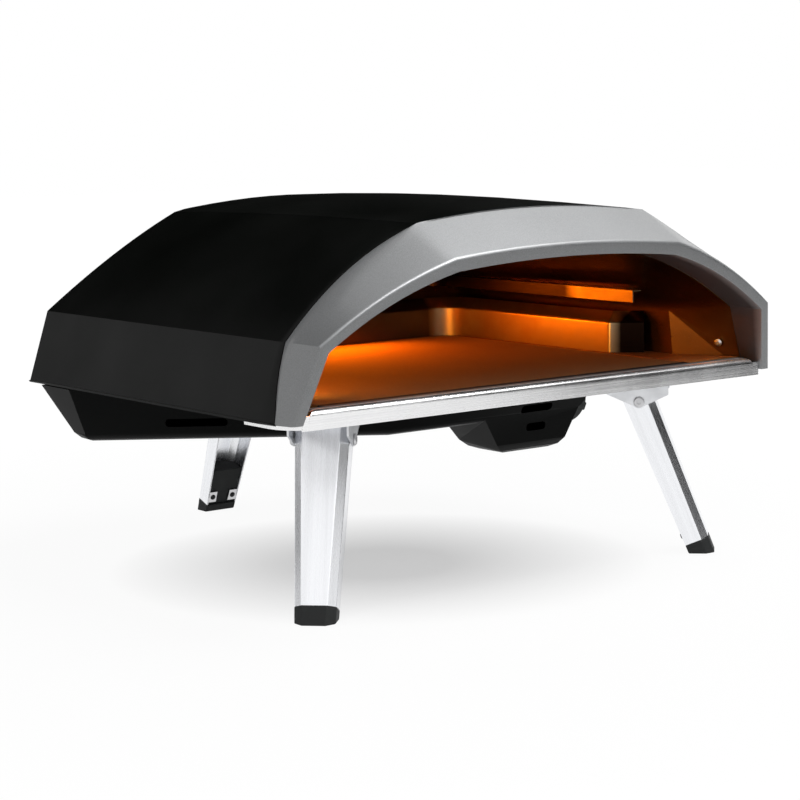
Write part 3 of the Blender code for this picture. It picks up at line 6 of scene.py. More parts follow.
import math
import bmesh
import bpy
from bpy.props import FloatProperty, FloatVectorProperty, PointerProperty
from mathutils import Matrix, Vector


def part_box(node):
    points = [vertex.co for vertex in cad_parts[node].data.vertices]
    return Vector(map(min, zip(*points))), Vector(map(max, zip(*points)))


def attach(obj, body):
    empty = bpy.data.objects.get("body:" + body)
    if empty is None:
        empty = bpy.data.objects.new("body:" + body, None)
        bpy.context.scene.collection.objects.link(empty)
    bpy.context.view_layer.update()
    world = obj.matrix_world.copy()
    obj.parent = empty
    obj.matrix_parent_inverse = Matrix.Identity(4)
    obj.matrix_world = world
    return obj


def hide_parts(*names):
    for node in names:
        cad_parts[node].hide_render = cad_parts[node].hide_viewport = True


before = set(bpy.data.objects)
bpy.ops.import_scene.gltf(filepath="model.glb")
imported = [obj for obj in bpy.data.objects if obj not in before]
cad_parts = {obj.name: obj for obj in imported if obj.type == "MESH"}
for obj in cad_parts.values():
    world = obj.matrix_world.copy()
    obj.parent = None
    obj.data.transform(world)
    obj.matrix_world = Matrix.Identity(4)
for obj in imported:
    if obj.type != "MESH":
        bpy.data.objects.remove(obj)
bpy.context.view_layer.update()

bl_info = {
    "name": "Portable gas pizza oven",
    "version": (1, 0, 0),
    "blender": (4, 5, 0),
    "location": "3D View > Sidebar > Oven",
    "description": "Dresses the packed oven with skins, chamber, legs and finishes",
    "category": "Object",
}

# Shell
SHELL_FRONT = -0.2617
SHELL_BOTTOM = 0.184
SHELL_HALF = 0.291
CREASE_HALF = 0.2675
CREASE_HEIGHT = 0.252
TOP_HALF = 0.1358
TOP_HEIGHT = 0.348
SHOULDER_BULGE = 0.008
TOP_CROWN = 0.009
CROWN_BOW = 0.004
TOP_FALL = 0.007
TOP_BOW = 0.005
REAR_CORNER = 0.176
REAR_CENTRE = 0.27
REAR_FACET_HALF = 0.12
REAR_LOW_LEAN = 0.162
REAR_HIGH_LEAN = 1.135
SHELL_FLANGE = 0.027
SHELL_FRONT_FLANGE = 0.0105
FLANGE_STEP = -0.205
FLANGE_ROUNDING = 0.0022
SHELL_ROWS = 8

# Arch outlines: faces along each low side and along each shoulder or the crown
SIDE_STEPS = 6
SHOULDER_STEPS = 12
# An arch folds by more than this many degrees at its creases, and bends by less between them
FOLD_ANGLE = 11

# Seam between the shell and the fascia, which bows back to the shell's low creases
SEAM_SET_BACK = 0.0165
SEAM_GAP = 0.0012
SEAM_FADE = 3.5
SEAM_NEXT_ROW = 1.5 * SEAM_SET_BACK
SEAM_CURVE_SHARES = (0, 0.25, 0.5, 0.75, 1)

# Fascia
FASCIA_BACK = -0.262
RIDGE = ((0.2866, -0.283, 0.184), (0.2689, -0.2996, 0.2522), (0.1328, -0.315, 0.319))
RIM = ((0.2761, -0.2833, 0.184), (0.2592, -0.299, 0.2458), (0.1293, -0.3134, 0.3073))
RIDGE_NOSE = 0.001
RIM_BULGE = 0.007
RIM_CROWN = 0.0065
RIM_ROUNDING = 0.0008
RETURN_BACK = -0.256

# Ends of the sill, behind its front corners
SILL_END_INNER = 0.2575
SILL_END_OUTER = 0.2748
SILL_END_FRONT = -0.2798
SILL_END_BACK = -0.2786
SILL_END_BOTTOM = 0.1786
SILL_END_TOP = 0.1914

# Steps of a rounded corner of the stone or the guard
ARC_STEPS = 16

# Stone
STONE_CORNER = 0.0255
STONE_ROUNDING = 0.0016

# Burner guard
GUARD_LINE = (0.203, 0.121)
GUARD_BASE = 0.1956
GUARD_RISE = 0.031
GUARD_CORNER = 0.028
GUARD_FRONT = -0.139
GUARD_RETURN = 0.0255
GUARD_RETURN_BEND = 0.002
GUARD_LEFT = -0.2362
GUARD_SHEET = 0.0012
# Its flared top, as (outwards, upwards) from the top of its upright part
GUARD_BEND = ((0, -0.002), (0, -0.001), (0.0004, -0.0003), (0.001, 0.0005), (0.0018, 0.0013))
GUARD_FLARE = (*GUARD_BEND, (0.011, 0.0105))

# Knob; heights count from the pan's wall
KNOB_PLACE = (0.24242, -0.019, 0.1335)
KNOB_LEAN = math.atan2(0.42649, 0.9045)
KNOB_RADIUS = 0.021
KNOB_GAP = 0.004
KNOB_HEIGHT = 0.0185
KNOB_FACE_SHEET = 0.004
KNOB_SKIRT = 0.0025
# Its rounded rim, as (inwards, downwards) from the corner of skirt and face
KNOB_RIM = ((0, 0.0022), (0.0006, 0.0008), (0.002, 0.0001), (0.0035, 0))
KNOB_STEPS = 96
KNOB_GROOVE_EVERY = 4
KNOB_GROOVE_DEPTH = 0.0006
KNOB_GRIP_WIDTH = 0.009
KNOB_GRIP_HEIGHT = 0.004
KNOB_GRIP_MARGIN = 0.003
KNOB_GRIP_SINK = 0.001
KNOB_GRIP_ROUNDING = 0.0014
KNOB_HUB_RADIUS = 0.0075
KNOB_HUB_START = 0.0065
KNOB_HUB_SINK = 0.002

# Legs; distances along a leg count from its hinge
HINGE_HEIGHT = 0.1545
LEG_TILT = math.radians(21.7)
LEG_RUN = HINGE_HEIGHT / math.cos(LEG_TILT)
LEG_OVERRUN = 0.03
LEG_WIDTH = 0.05
LEG_FOOT_WIDTH = 0.037
LEG_DEPTH = 0.029
LEG_FOOT_DEPTH = 0.0235
LEG_CHAMFER = 0.0074
LEG_SHEET = 0.0015
LEG_HEAD = 0.012
LEG_HEAD_INNER = 0.006
LEG_ROUNDING = 0.0009
FOOT_HEIGHT = 0.0135
FOOT_GAP = 0.0003
FOOT_PROUD = 0.0002
FOOT_ROUNDING = 0.0011
INSERT_BOTTOM = 0.008
INSERT_HEIGHT = 0.056
INSERT_SIDE_GAP = 0.0018
INSERT_SET_BACK = 0.0021
INSERT_ROUNDING = 0.0006
TAB_BOTTOM = 0.0165
TAB_TOP = 0.0295
TAB_REACH = 0.0115
TAB_SIDE_GAP = 0.0006
TAB_GAP = 0.0001
BUTTON_RADIUS = 0.003
BUTTON_BASE = 0.0022
# A button's outline, as (inwards from its radius, height)
BUTTON_EDGE = ((0, 0), (0, 0.0026), (0.0008, 0.0034), (0.003, 0.0037))
BUTTON_STEPS = 24
LEGS = {
    "front_left": ((-0.194, -0.195), math.radians(135)),
    "front_right": ((0.194, -0.195), math.radians(225)),
    "rear": ((0, 0.2403), 0),
}

# Easing of small edges
FINE_EASE = 0.0003
EASE = 0.0004
GLAZE_EASE = 0.0006

# Points this close are one point, and a point this close to a plane lies on it
SAME_POINT = 0.000001
ON_PLANE = 0.0001
# Looser limits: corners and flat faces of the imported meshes, and corners of the shell's outline
PACKED_POINT = 0.00002
FLAT_ANGLE = 0.6
NEAR_CORNER = 0.0005

# Where finishes change and where shade is painted on, in metres on the oven
# Painted shade on the back of the sill's top, next to the stone: where it starts and is full across
# Y and Z
SILL_SHADE_DEPTHS = (-0.2755, -0.2725)
SILL_SHADE_HEIGHTS = (0.19, 0.194)
# Darker towards the top of the chamber, from the lower height to the upper
ROOF_DARK_HEIGHTS = (0.275, 0.315)
# Painted shadow along the stone's front edge, where it meets the sill
STONE_SHADOW_DEPTHS = (-0.2505, -0.2525)
GLAZE_STAIN_HEIGHTS = (0.205, 0.225)
# Painted shade on the guard and deflector, as (axis, where it starts, where it is full, share)
GUARD_PAINTED_SHADES = ((0, 0.184, 0.175, 0.8), (1, GUARD_FRONT + 0.002, GUARD_FRONT - 0.006, 1))
DEFLECTOR_PAINTED_SHADES = ((1, -0.1, -0.08, 1),)

# Camera, matched to the photograph
CAMERA_PLACE = (-1.35111, -1.84607, 0.45952)
CAMERA_RIGHT = (0.79693529, -0.6037595, -0.01919954)
CAMERA_UP = (0.09560001, 0.09467688, 0.99090712)
CAMERA_AHEAD = (0.59645183, 0.79152433, -0.13317076)
CAMERA_LENS = 101.89
CAMERA_SENSOR = 36

# Lamps as (name, place, aim, watts, (width, height), colour, whether only a glint)
WHITE = (1, 1, 1)
FLAME = (1, 0.19, 0.003)
EMBER = (1, 0.42, 0.06)
LAMPS = (
    ("overhead", (0.75, -0.5, 2.0), (0, -0.1, 0.25), 29, (1.2, 1.2)),
    ("rear_flame", (0, 0.112, 0.245), (0, -0.08, 0.19), 0.6, (0.2, 0.025), FLAME),
    ("left_flame", (-0.236, -0.17, 0.235), (0.19, 0.1, 0.215), 0.13, (0.02, 0.07), FLAME),
    ("corner_glint", (-0.234, -0.2, 0.24), (0.19, 0.1, 0.21), 1.5, (0.012, 0.08), EMBER, True),
    ("ridge_glint", (0.32, -1.49, 1.88), (0, -0.3, 0.3), 60, (1.6, 1.1), WHITE, True),
)
# Dark cards as (name, place, aim, width, height)
CARDS = (
    ("front_card", (1.3, -0.85, 0.6), (0.69, -0.057, 0.6), 1.31, 1.2),
    ("high_card", (0.62, -1.3, 0.62), (0, 0, 0.3), 0.7, 0.4),
    ("left_card", (-1.05, 1.0, 0.2), (-0.25, -0.25, 0.1), 0.4, 0.3),
    ("rear_card", (0.45, 1.6, 1.5), (0, 0, 1.5), 2.9, 3.0),
)
# Floor, and the light that the white surroundings give
FLOOR_WIDTH = 16
FLOOR_GLOW = 1.02
SHADOW_CENTRE = (-0.04, -0.07, 0)
# The glow's share of the floor, as (near, far, share near, share far) added up
SHADOW_FADES = ((0.07, 0.27, 0.5, 0.93), (0.45, 1.3, 0, 0.07))
AIR_LIGHT = 0.3


# Sizes and colours that a user would change


def length_choice(name, description, default):
    return FloatProperty(
        name=name, description=description, default=default, subtype="DISTANCE", unit="LENGTH"
    )


def colour_choice(name, description, default):
    return FloatVectorProperty(
        name=name, description=description, default=default, subtype="COLOR", min=0, max=1
    )


class OvenSizes(bpy.types.PropertyGroup):
    skin: length_choice("Skin", "Thickness of the shell's sheet", 0.0015)
    crease: length_choice("Crease", "Width of the folds in the shell", 0.004)
    ridge: length_choice("Ridge", "Rounding of the fascia's ridge", 0.0028)
    edge: length_choice("Edge", "Rounding of the sill's edges", 0.0004)


class OvenColours(bpy.types.PropertyGroup):
    shell: colour_choice("Shell", "Powder coat of the shell", (0.0012, 0.0015, 0.0012))
    fascia: colour_choice("Fascia", "Silver-grey enamel of the fascia", (0.27, 0.275, 0.28))
    steel: colour_choice("Steel", "Plain steel of screws and plates", (0.62, 0.62, 0.63))
    liner: colour_choice("Liner", "Heat-tinted steel of the chamber", (0.22, 0.115, 0.04))
    aluminium: colour_choice("Legs", "Brushed aluminium of the legs", (0.92, 0.93, 0.955))
    stone: colour_choice("Stone", "Fired baking stone", (0.48, 0.275, 0.1))
    brass: colour_choice("Brass", "Brass of the valve and gas way", (0.62, 0.44, 0.17))
    pan: colour_choice("Pan", "Satin black of the belly pan", (0.003, 0.0034, 0.0032))
    plastic: colour_choice("Plastic", "Black plastic and rubber", (0.032, 0.034, 0.034))


# Finishes


class Number:
    """A number in a finish; arithmetic on it adds Math nodes to that finish."""

    def __init__(self, finish, socket):
        self.finish = finish
        self.socket = socket

    def maths(self, operation, *terms):
        return self.finish.node("ShaderNodeMath", {"operation": operation}, dict(enumerate(terms)))

    def __add__(self, other):
        return self.maths("ADD", self, other)

    __radd__ = __add__

    def __sub__(self, other):
        return self.maths("SUBTRACT", self, other)

    def __rsub__(self, other):
        return self.maths("SUBTRACT", other, self)

    def __mul__(self, other):
        return self.maths("MULTIPLY", self, other)

    __rmul__ = __mul__


class Finish:
    """The node tree of a finish, with the shader that its patterns feed."""

    def __init__(self, owner):
        owner.use_nodes = True
        self.owner = owner
        self.tree = owner.node_tree

    def node(self, kind, settings=None, values=None, output=0):
        """Adds a node with its settings, then gives its sockets their values or links."""
        made = self.tree.nodes.new(kind)
        for setting, value in (settings or {}).items():
            if setting == "stops":
                self.set_stops(made.color_ramp, value)
            else:
                setattr(made, setting, value)
        for socket, value in (values or {}).items():
            self.feed(made.inputs[socket], value)
        return Number(self, made.outputs[output])

    def set_stops(self, ramp, stops):
        while len(ramp.elements) < len(stops):
            ramp.elements.new(0.5)
        for element, (place, colour) in zip(ramp.elements, stops):
            element.position = place
            element.color = (*colour, 1)

    def feed(self, socket, value):
        if isinstance(value, Number):
            self.tree.links.new(value.socket, socket)
        elif socket.type == "RGBA" and len(value) == 3:
            socket.default_value = (*value, 1)
        else:
            socket.default_value = value

    def noise(self, scale, detail=2, roughness=0.5, stretch=(1, 1, 1), turn=(0, 0, 0)):
        """Noise over the piece, turned, then made finer by each axis's stretch."""
        at = self.node("ShaderNodeTexCoord", output="Object")
        size = tuple(1 / share for share in stretch)
        values = {"Vector": at, "Scale": size, "Rotation": turn}
        place = self.node("ShaderNodeMapping", {"vector_type": "TEXTURE"}, values)
        values = {"Vector": place, "Scale": scale, "Detail": detail, "Roughness": roughness}
        return self.node("ShaderNodeTexNoise", None, values)

    def spread(self, value, low, high, to_low=0, to_high=1):
        """Maps the range low to high onto another range, held at its ends."""
        values = {"Value": value, "From Min": low, "From Max": high}
        values |= {"To Min": to_low, "To Max": to_high}
        return self.node("ShaderNodeMapRange", None, values)

    def tint(self, share, first, second):
        return self.node("ShaderNodeMix", {"data_type": "RGBA"}, {0: share, 6: first, 7: second}, 2)

    def ramp(self, value, *stops):
        return self.node("ShaderNodeValToRGB", {"stops": stops}, {"Fac": value})

    def axis(self, index):
        at = self.node("ShaderNodeTexCoord", output="Object")
        return self.node("ShaderNodeSeparateXYZ", None, {"Vector": at}, index)

    def bump(self, height, distance, strength=1):
        values = {"Height": height, "Distance": distance, "Strength": strength}
        return self.node("ShaderNodeBump", None, values)

    def seen_directly(self):
        """1 for camera, glossy and transmission rays, 0 for the rays that light other things."""
        rays = self.tree.nodes.new("ShaderNodeLightPath").outputs
        kinds = ("Is Camera Ray", "Is Glossy Ray", "Is Transmission Ray")
        return sum(Number(self, rays[kind]) for kind in kinds)

    def surface(self, **sockets):
        """Feeds the shader's sockets, named with underscores for spaces."""
        shader = self.tree.nodes["Principled BSDF"]
        for name, value in sockets.items():
            self.feed(shader.inputs[name.replace("_", " ")], value)
        return self.owner


def new_finish(name):
    return Finish(bpy.data.materials.new(name))


def shade(colour, factor):
    return tuple(min(channel * factor, 1) for channel in colour)


def powder_coat(name, colour, roughness, grain, specular):
    """Oven-baked powder: a fine orange peel with a faint fleck."""
    finish = new_finish(name)
    peel = finish.noise(grain, 3, 0.6)
    fleck = finish.spread(finish.noise(grain * 1.4, 1), 0.66, 0.74)
    cloud = finish.spread(finish.noise(9, 3), 0.3, 0.7)
    base = finish.tint(cloud, shade(colour, 0.86), shade(colour, 1.14))
    base = finish.tint(fleck * 0.5, base, shade(colour, 4))
    return finish.surface(
        Base_Color=base,
        Roughness=finish.spread(cloud, 0, 1, roughness - 0.05, roughness + 0.05),
        Specular_IOR_Level=specular,
        Normal=finish.bump(peel, 0.00006, 0.3),
    )


def enamel(colour):
    """Satin silver-grey enamel with a fine metal flake, and painted shade on its return."""
    finish = new_finish("fascia_enamel")
    flake = finish.noise(1700, 1)
    cloud = finish.spread(finish.noise(14, 3), 0.3, 0.7)
    base = finish.tint(finish.spread(flake, 0.35, 0.65), shade(colour, 0.84), shade(colour, 1.16))
    base = finish.tint(cloud * 0.12, base, shade(colour, 1.25))
    # Painted shade: dark blue-grey towards the back edge of the return into the mouth
    inner = finish.node("ShaderNodeAttribute", {"attribute_name": "inner"}, output="Fac")
    base = finish.tint(finish.spread(inner, 0.02, 0.3) * 0.8, base, (0.015, 0.017, 0.02))
    return finish.surface(
        Base_Color=base,
        Metallic=0.3,
        Roughness=finish.spread(cloud, 0, 1, 0.4, 0.47),
        Specular_IOR_Level=0.3,
        Coat_Weight=0.4,
        Coat_Roughness=0.16,
        Normal=finish.bump(flake, 0.0002, 0.18),
    )


def brushed(
    name, colour, scales, roughness=0.3, depth=0.00006, contrast=0.16, turn=(0, 0, 0), shade_band=None
):
    """Metal with fine brush lines.

    They run along the axis with the smallest scale. Where shade_band is given, as (depths,
    heights), shade is painted on: the metal turns dark and rough over those ranges of Y and Z.
    """
    finish = new_finish(name)
    lines = finish.noise(1, 4, 0.65, stretch=scales, turn=turn)
    broad = finish.noise(1, 2, stretch=tuple(scale * 0.12 for scale in scales), turn=turn)
    smudge = finish.spread(finish.noise(22, 3), 0.35, 0.75)
    streak = finish.spread(lines, 0.3, 0.7)
    base = finish.tint(streak, shade(colour, 1 - contrast), shade(colour, 1 + contrast))
    base = finish.tint(finish.spread(broad, 0.35, 0.65) * 0.35, base, shade(colour, 0.82))
    finest = roughness - 0.45 * contrast
    coarsest = roughness + 0.75 * contrast
    coarse = finish.spread(streak + smudge * 0.6, 0, 1.6, finest, coarsest)
    if shade_band:
        # Painted shade: the band turns the metal dark and rough
        depths, heights = shade_band
        shade_mask = finish.spread(finish.axis(1), *depths) * finish.spread(finish.axis(2), *heights)
        base = finish.tint(shade_mask, base, shade(colour, 0.1))
        coarse = coarse + shade_mask * 0.7
    return finish.surface(
        Base_Color=base,
        Metallic=1.0,
        Roughness=coarse,
        Normal=finish.bump(lines, depth, 0.5),
    )


def plain_metal(name, colour, roughness=0.35):
    """Rolled sheet or turned metal: faint scuffs and a soft mottle."""
    finish = new_finish(name)
    scuff = finish.noise(160, 4, 0.7, stretch=(1, 0.3, 1))
    mottle = finish.spread(finish.noise(45, 3), 0.35, 0.7)
    base = finish.tint(mottle, shade(colour, 0.86), shade(colour, 1.08))
    return finish.surface(
        Base_Color=base,
        Metallic=1.0,
        Roughness=finish.spread(scuff, 0.3, 0.7, roughness - 0.06, roughness + 0.1),
        Normal=finish.bump(scuff, 0.00005, 0.4),
    )


def heat_tinted(name, colour, roughness=0.32, painted_shades=()):
    """Bare steel inside the chamber, straw to brown where the flame has heated it.

    Each painted shade is (axis, where it starts, where it is full, share).
    """
    finish = new_finish(name)
    rolled = finish.noise(1, 3, 0.6, stretch=(90, 90, 2600))
    cloud = finish.noise(11, 4, 0.6)
    heat = finish.spread(cloud + finish.spread(finish.axis(1), -0.2, 0.15) * 0.25, 0.35, 0.85)
    base = finish.ramp(
        heat,
        (0, shade(colour, 1.05)),
        (0.55, (colour[0], colour[1] * 0.92, colour[2] * 0.78)),
        (1, (colour[0] * 0.85, colour[1] * 0.66, colour[2] * 0.46)),
    )
    # Darkens towards the top of the chamber, nearly to black above the upper height
    roof_darkening = finish.spread(finish.axis(2) + cloud * 0.03, *ROOF_DARK_HEIGHTS)
    base = finish.tint(roof_darkening * 0.94, base, (0.02, 0.012, 0.007))
    # Painted shade: near-black patches where the chamber lies in shade, so that only its lit parts
    # stay bright
    for axis, start, full, share in painted_shades:
        darkening = finish.spread(finish.axis(axis) + cloud * 0.006, start, full)
        base = finish.tint(darkening * share, base, (0.01, 0.005, 0.003))
    grain = rolled + cloud * 0.5
    return finish.surface(
        Base_Color=base,
        Metallic=1.0,
        Roughness=finish.spread(grain, 0.5, 1, roughness - 0.08, roughness + 0.1),
        Normal=finish.bump(rolled, 0.00003, 0.5),
    )


def fired_stone(colour):
    """Fired clay: warm buff and sandy, with speckles, cloudy scorches and a painted shadow along
    its front edge.
    """
    finish = new_finish("fired_stone")
    sand = finish.noise(900, 3, 0.7)
    speck = finish.spread(finish.noise(420, 1), 0.62, 0.7)
    darkening = finish.spread(finish.noise(7, 4, 0.55), 0.4, 0.75)
    base = finish.tint(finish.spread(sand, 0.3, 0.7), shade(colour, 0.85), shade(colour, 1.1))
    base = finish.tint(speck * 0.35, base, shade(colour, 0.45))
    brown = tuple(channel * share for channel, share in zip(colour, (0.55, 0.42, 0.32)))
    base = finish.tint(darkening * 0.35, base, brown)
    # Painted shadow: the stone's front strip turns near-black, where it meets the sill
    edge = finish.spread(finish.axis(1), *STONE_SHADOW_DEPTHS)
    base = finish.tint(edge, base, (0.005, 0.004, 0.003))
    return finish.surface(
        Base_Color=base,
        Roughness=finish.spread(sand, 0.3, 0.7, 0.82, 0.95),
        Specular_IOR_Level=0.15,
        Normal=finish.bump(sand - speck * 0.6, 0.0004, 0.5),
    )


def moulded(name, colour, roughness=0.5, specular=0.3):
    """Moulded black plastic or rubber with a fine spark-eroded grain."""
    finish = new_finish(name)
    grain = finish.noise(1300, 2, 0.6)
    wear = finish.spread(finish.noise(30, 3), 0.45, 0.8)
    base = finish.tint(wear, colour, shade(colour, 1.6))
    return finish.surface(
        Base_Color=base,
        Roughness=finish.spread(grain, 0.3, 0.7, roughness - 0.08, roughness + 0.1),
        Specular_IOR_Level=specular,
        Normal=finish.bump(grain, 0.0002, 0.4),
    )


def glazed():
    """Glazed ceramic of the igniter, browned near its tip."""
    finish = new_finish("glazed_ceramic")
    stain = finish.spread(finish.axis(2), *GLAZE_STAIN_HEIGHTS)
    mottle = finish.noise(240, 3)
    return finish.surface(
        Base_Color=finish.tint(stain * 0.5 + mottle * 0.1, (0.76, 0.74, 0.7), (0.5, 0.4, 0.3)),
        Roughness=finish.spread(mottle, 0.3, 0.7, 0.16, 0.26),
        Coat_Weight=0.4,
    )


FINISHES = {}


def mix_finishes():
    """Mixes each finish once."""
    chosen = bpy.context.scene.oven_colours
    colours = {name: tuple(getattr(chosen, name)) for name in OvenColours.__annotations__}
    plain, plastic = colours["steel"], colours["plastic"]
    pale, dark = (0.42, 0.34, 0.22), (0.2, 0.17, 0.11)
    # The sill's painted shade: a dark band along the back of its top, next to the stone
    shade_band = (SILL_SHADE_DEPTHS, SILL_SHADE_HEIGHTS)
    FINISHES.update(
        shell=powder_coat("shell_powder", colours["shell"], 0.34, 1500, 0.09),
        pan=powder_coat("pan_powder", colours["pan"], 0.42, 1800, 0.05),
        fascia=enamel(colours["fascia"]),
        sill=brushed("sill_brushed", (0.95, 0.95, 0.96), (3, 900, 900), 0.24, shade_band=shade_band),
        floor=brushed("floor_sheet", plain, (4, 500, 500), 0.36),
        stone=fired_stone(colours["stone"]),
        liner=heat_tinted("liner_heat_tint", colours["liner"]),
        # The guard and deflector carry painted shade besides their heat tint
        guard=heat_tinted("guard_heat_tint", pale, 0.36, GUARD_PAINTED_SHADES),
        deflector=heat_tinted("deflector_heat_tint", dark, 0.34, DEFLECTOR_PAINTED_SHADES),
        shelf=heat_tinted("shelf_heat_tint", (0.3, 0.14, 0.05), 0.6),
        burner=heat_tinted("burner_tube_steel", (0.34, 0.3, 0.27), 0.4),
        steel=plain_metal("plain_steel", plain),
        brass=plain_metal("plain_brass", colours["brass"], 0.28),
        bracket=plain_metal("bracket_aluminium", (0.74, 0.75, 0.77), 0.36),
        ceramic=glazed(),
        plastic=moulded("moulded_plastic", plastic),
        rubber=moulded("moulded_rubber", plastic, 0.62, 0.2),
    )
    bare, lines = colours["aluminium"], (1600, 1600, 6)
    for name in LEGS:
        turn = tuple(leg_place(name).to_euler())
        finish = brushed(f"{name}_aluminium", bare, lines, 0.27, 0.00001, 0.02, turn)
        FINISHES[f"{name}_leg"] = finish


# Mesh helpers


def sheet_of(rows):
    """A sheet of faces through rows of as many points each."""
    edit = bmesh.new()
    bmesh.ops.create_grid(edit, x_segments=len(rows[0]) - 1, y_segments=len(rows) - 1, size=1)
    edit.verts.ensure_lookup_table()
    for corner, point in zip(edit.verts, (point for row in rows for point in row)):
        corner.co = point
    bmesh.ops.remove_doubles(edit, verts=edit.verts, dist=SAME_POINT)
    return edit


def cap_ends(edit):
    """Closes every open rim with a face."""
    rims = [edge for edge in edit.edges if edge.is_boundary]
    bmesh.ops.edgenet_fill(edit, edges=rims)
    bmesh.ops.recalc_face_normals(edit, faces=edit.faces)


def round_edges(edit, width, segments=2, angle=25, keep=lambda edge: True):
    """Rounds the edges that fold by more than the angle."""
    inner = [edge for edge in edit.edges if len(edge.link_faces) == 2]
    folds = [edge for edge in inner if edge.calc_face_angle() > math.radians(angle) and keep(edge)]
    bmesh.ops.bevel(
        edit,
        geom=folds,
        offset=width,
        offset_type="OFFSET",
        affect="EDGES",
        segments=segments,
        profile=0.5,
        material=-1,
        clamp_overlap=True,
        miter_outer="ARC" if segments > 1 else "SHARP",
    )


def on_line(edge, points):
    """Whether both ends of the edge are among the points."""
    gaps = (min((corner.co - point).length for point in points) for corner in edge.verts)
    return max(gaps) < ON_PLANE


def on_base(edge):
    """Whether the edge lies on the plane of the shell's bottom."""
    return all(abs(corner.co.z - SHELL_BOTTOM) < ON_PLANE for corner in edge.verts)


def cut_off(edit, planes, closed=True):
    """Cuts the mesh off at planes of (point, outward normal), and closes the cuts."""
    for point, normal in planes:
        found = bmesh.ops.bisect_plane(
            edit,
            geom=edit.verts[:] + edit.edges[:] + edit.faces[:],
            plane_co=point,
            plane_no=normal,
            clear_outer=True,
        )
        if closed:
            rim = [item for item in found["geom_cut"] if isinstance(item, bmesh.types.BMEdge)]
            bmesh.ops.contextual_create(edit, geom=rim)
    bmesh.ops.recalc_face_normals(edit, faces=edit.faces)


def piece(name, edit, finish, body, replaces=(), wall=0, crease=30):
    """Makes the edited mesh a piece of the oven that rides on a body and stands for its nodes."""
    mesh = bpy.data.meshes.new(name)
    edit.to_mesh(mesh)
    edit.free()
    mesh.shade_smooth()
    mesh.set_sharp_from_angle(angle=math.radians(crease))
    made = bpy.data.objects.new(name, mesh)
    bpy.context.scene.collection.objects.link(made)
    mesh.materials.append(FINISHES[finish])
    if wall:
        thick = made.modifiers.new("Wall", "SOLIDIFY")
        thick.thickness = wall
        thick.offset = -1
        thick.use_even_offset = False
    flats = made.modifiers.new("Flat faces", "WEIGHTED_NORMAL")
    flats.keep_sharp = True
    if replaces:
        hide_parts(*replaces)
    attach(made, body)


def copied(node):
    """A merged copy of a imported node's mesh, its flat faces in one piece each."""
    edit = bmesh.new()
    edit.from_mesh(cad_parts[node].data)
    bmesh.ops.remove_doubles(edit, verts=edit.verts, dist=PACKED_POINT)
    bmesh.ops.dissolve_limit(
        edit,
        angle_limit=math.radians(FLAT_ANGLE),
        use_dissolve_boundaries=False,
        verts=edit.verts,
        edges=edit.edges,
    )
    return edit


def dressed(node, finish, body="oven", width=0, crease=32):
    """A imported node's own shape with its edges eased and its finish on."""
    edit = copied(node)
    if width:
        round_edges(edit, width)
    piece(f"{node}_dressed", edit, finish, body, (node,), crease=crease)


def block(outline, low, high):
    """A flat outline in X and Y, raised from low to high."""
    edit = bmesh.new()
    corners = [edit.verts.new((x, y, low)) for x, y in outline]
    face = edit.faces.new(corners)
    raised = bmesh.ops.extrude_face_region(edit, geom=[face])["geom"]
    lifted = [item for item in raised if isinstance(item, bmesh.types.BMVert)]
    bmesh.ops.translate(edit, verts=lifted, vec=(0, 0, high - low))
    bmesh.ops.recalc_face_normals(edit, faces=edit.faces)
    return edit


def turned(profile, steps=48):
    """A body turned about Z from (radius, height) points that start and end on the axis."""
    edit = bmesh.new()
    corners = [edit.verts.new((radius, 0, height)) for radius, height in profile]
    edges = [edit.edges.new(pair) for pair in zip(corners, corners[1:])]
    whole = {"cent": (0, 0, 0), "axis": (0, 0, 1), "angle": 2 * math.pi, "use_merge": True}
    bmesh.ops.spin(edit, geom=corners + edges, steps=steps, **whole)
    bmesh.ops.remove_doubles(edit, verts=edit.verts, dist=SAME_POINT)
    bmesh.ops.recalc_face_normals(edit, faces=edit.faces)
    return edit


def joined(first, second):
    """Adds the second mesh to the first."""
    passing = bpy.data.meshes.new("passing")
    second.to_mesh(passing)
    second.free()
    first.from_mesh(passing)
    bpy.data.meshes.remove(passing)
    return first


def move(edit, matrix):
    bmesh.ops.transform(edit, matrix=matrix, verts=edit.verts)


def arc(centre, radius):
    """A quarter of a circle, from its +X side to its +Y side."""
    angles = [math.radians(90 * step / ARC_STEPS) for step in range(ARC_STEPS + 1)]
    return [(centre[0] + radius * math.cos(a), centre[1] + radius * math.sin(a)) for a in angles]


def inset(points, distance):
    """Moves each point of an open outline to its right-hand side, mitred at corners."""
    points = [Vector(point) for point in points]
    sides = [(end - start).normalized() for start, end in zip(points, points[1:])]
    shifted = []
    for i, here in enumerate(points):
        normals = [Vector((side.y, -side.x)) for side in sides[max(i - 1, 0) : i + 1]]
        middle = sum(normals, Vector((0, 0))).normalized()
        shifted.append(tuple(here + middle * (distance / middle.dot(normals[0]))))
    return shifted


# Arch outlines


def bulged(start, end, rise, steps):
    """Points after start up to end, on a shallow curve that rises to the left of the chord."""
    chord = (end[0] - start[0], end[-1] - start[-1])
    length = math.hypot(*chord)
    normal = (-chord[1] / length, chord[0] / length)
    points = []
    for step in range(1, steps + 1):
        share = step / steps
        lift = 4 * rise * share * (1 - share)
        point = [a + (b - a) * share for a, b in zip(start, end)]
        point[0] += normal[0] * lift
        point[-1] += normal[1] * lift
        points.append(tuple(point))
    return points


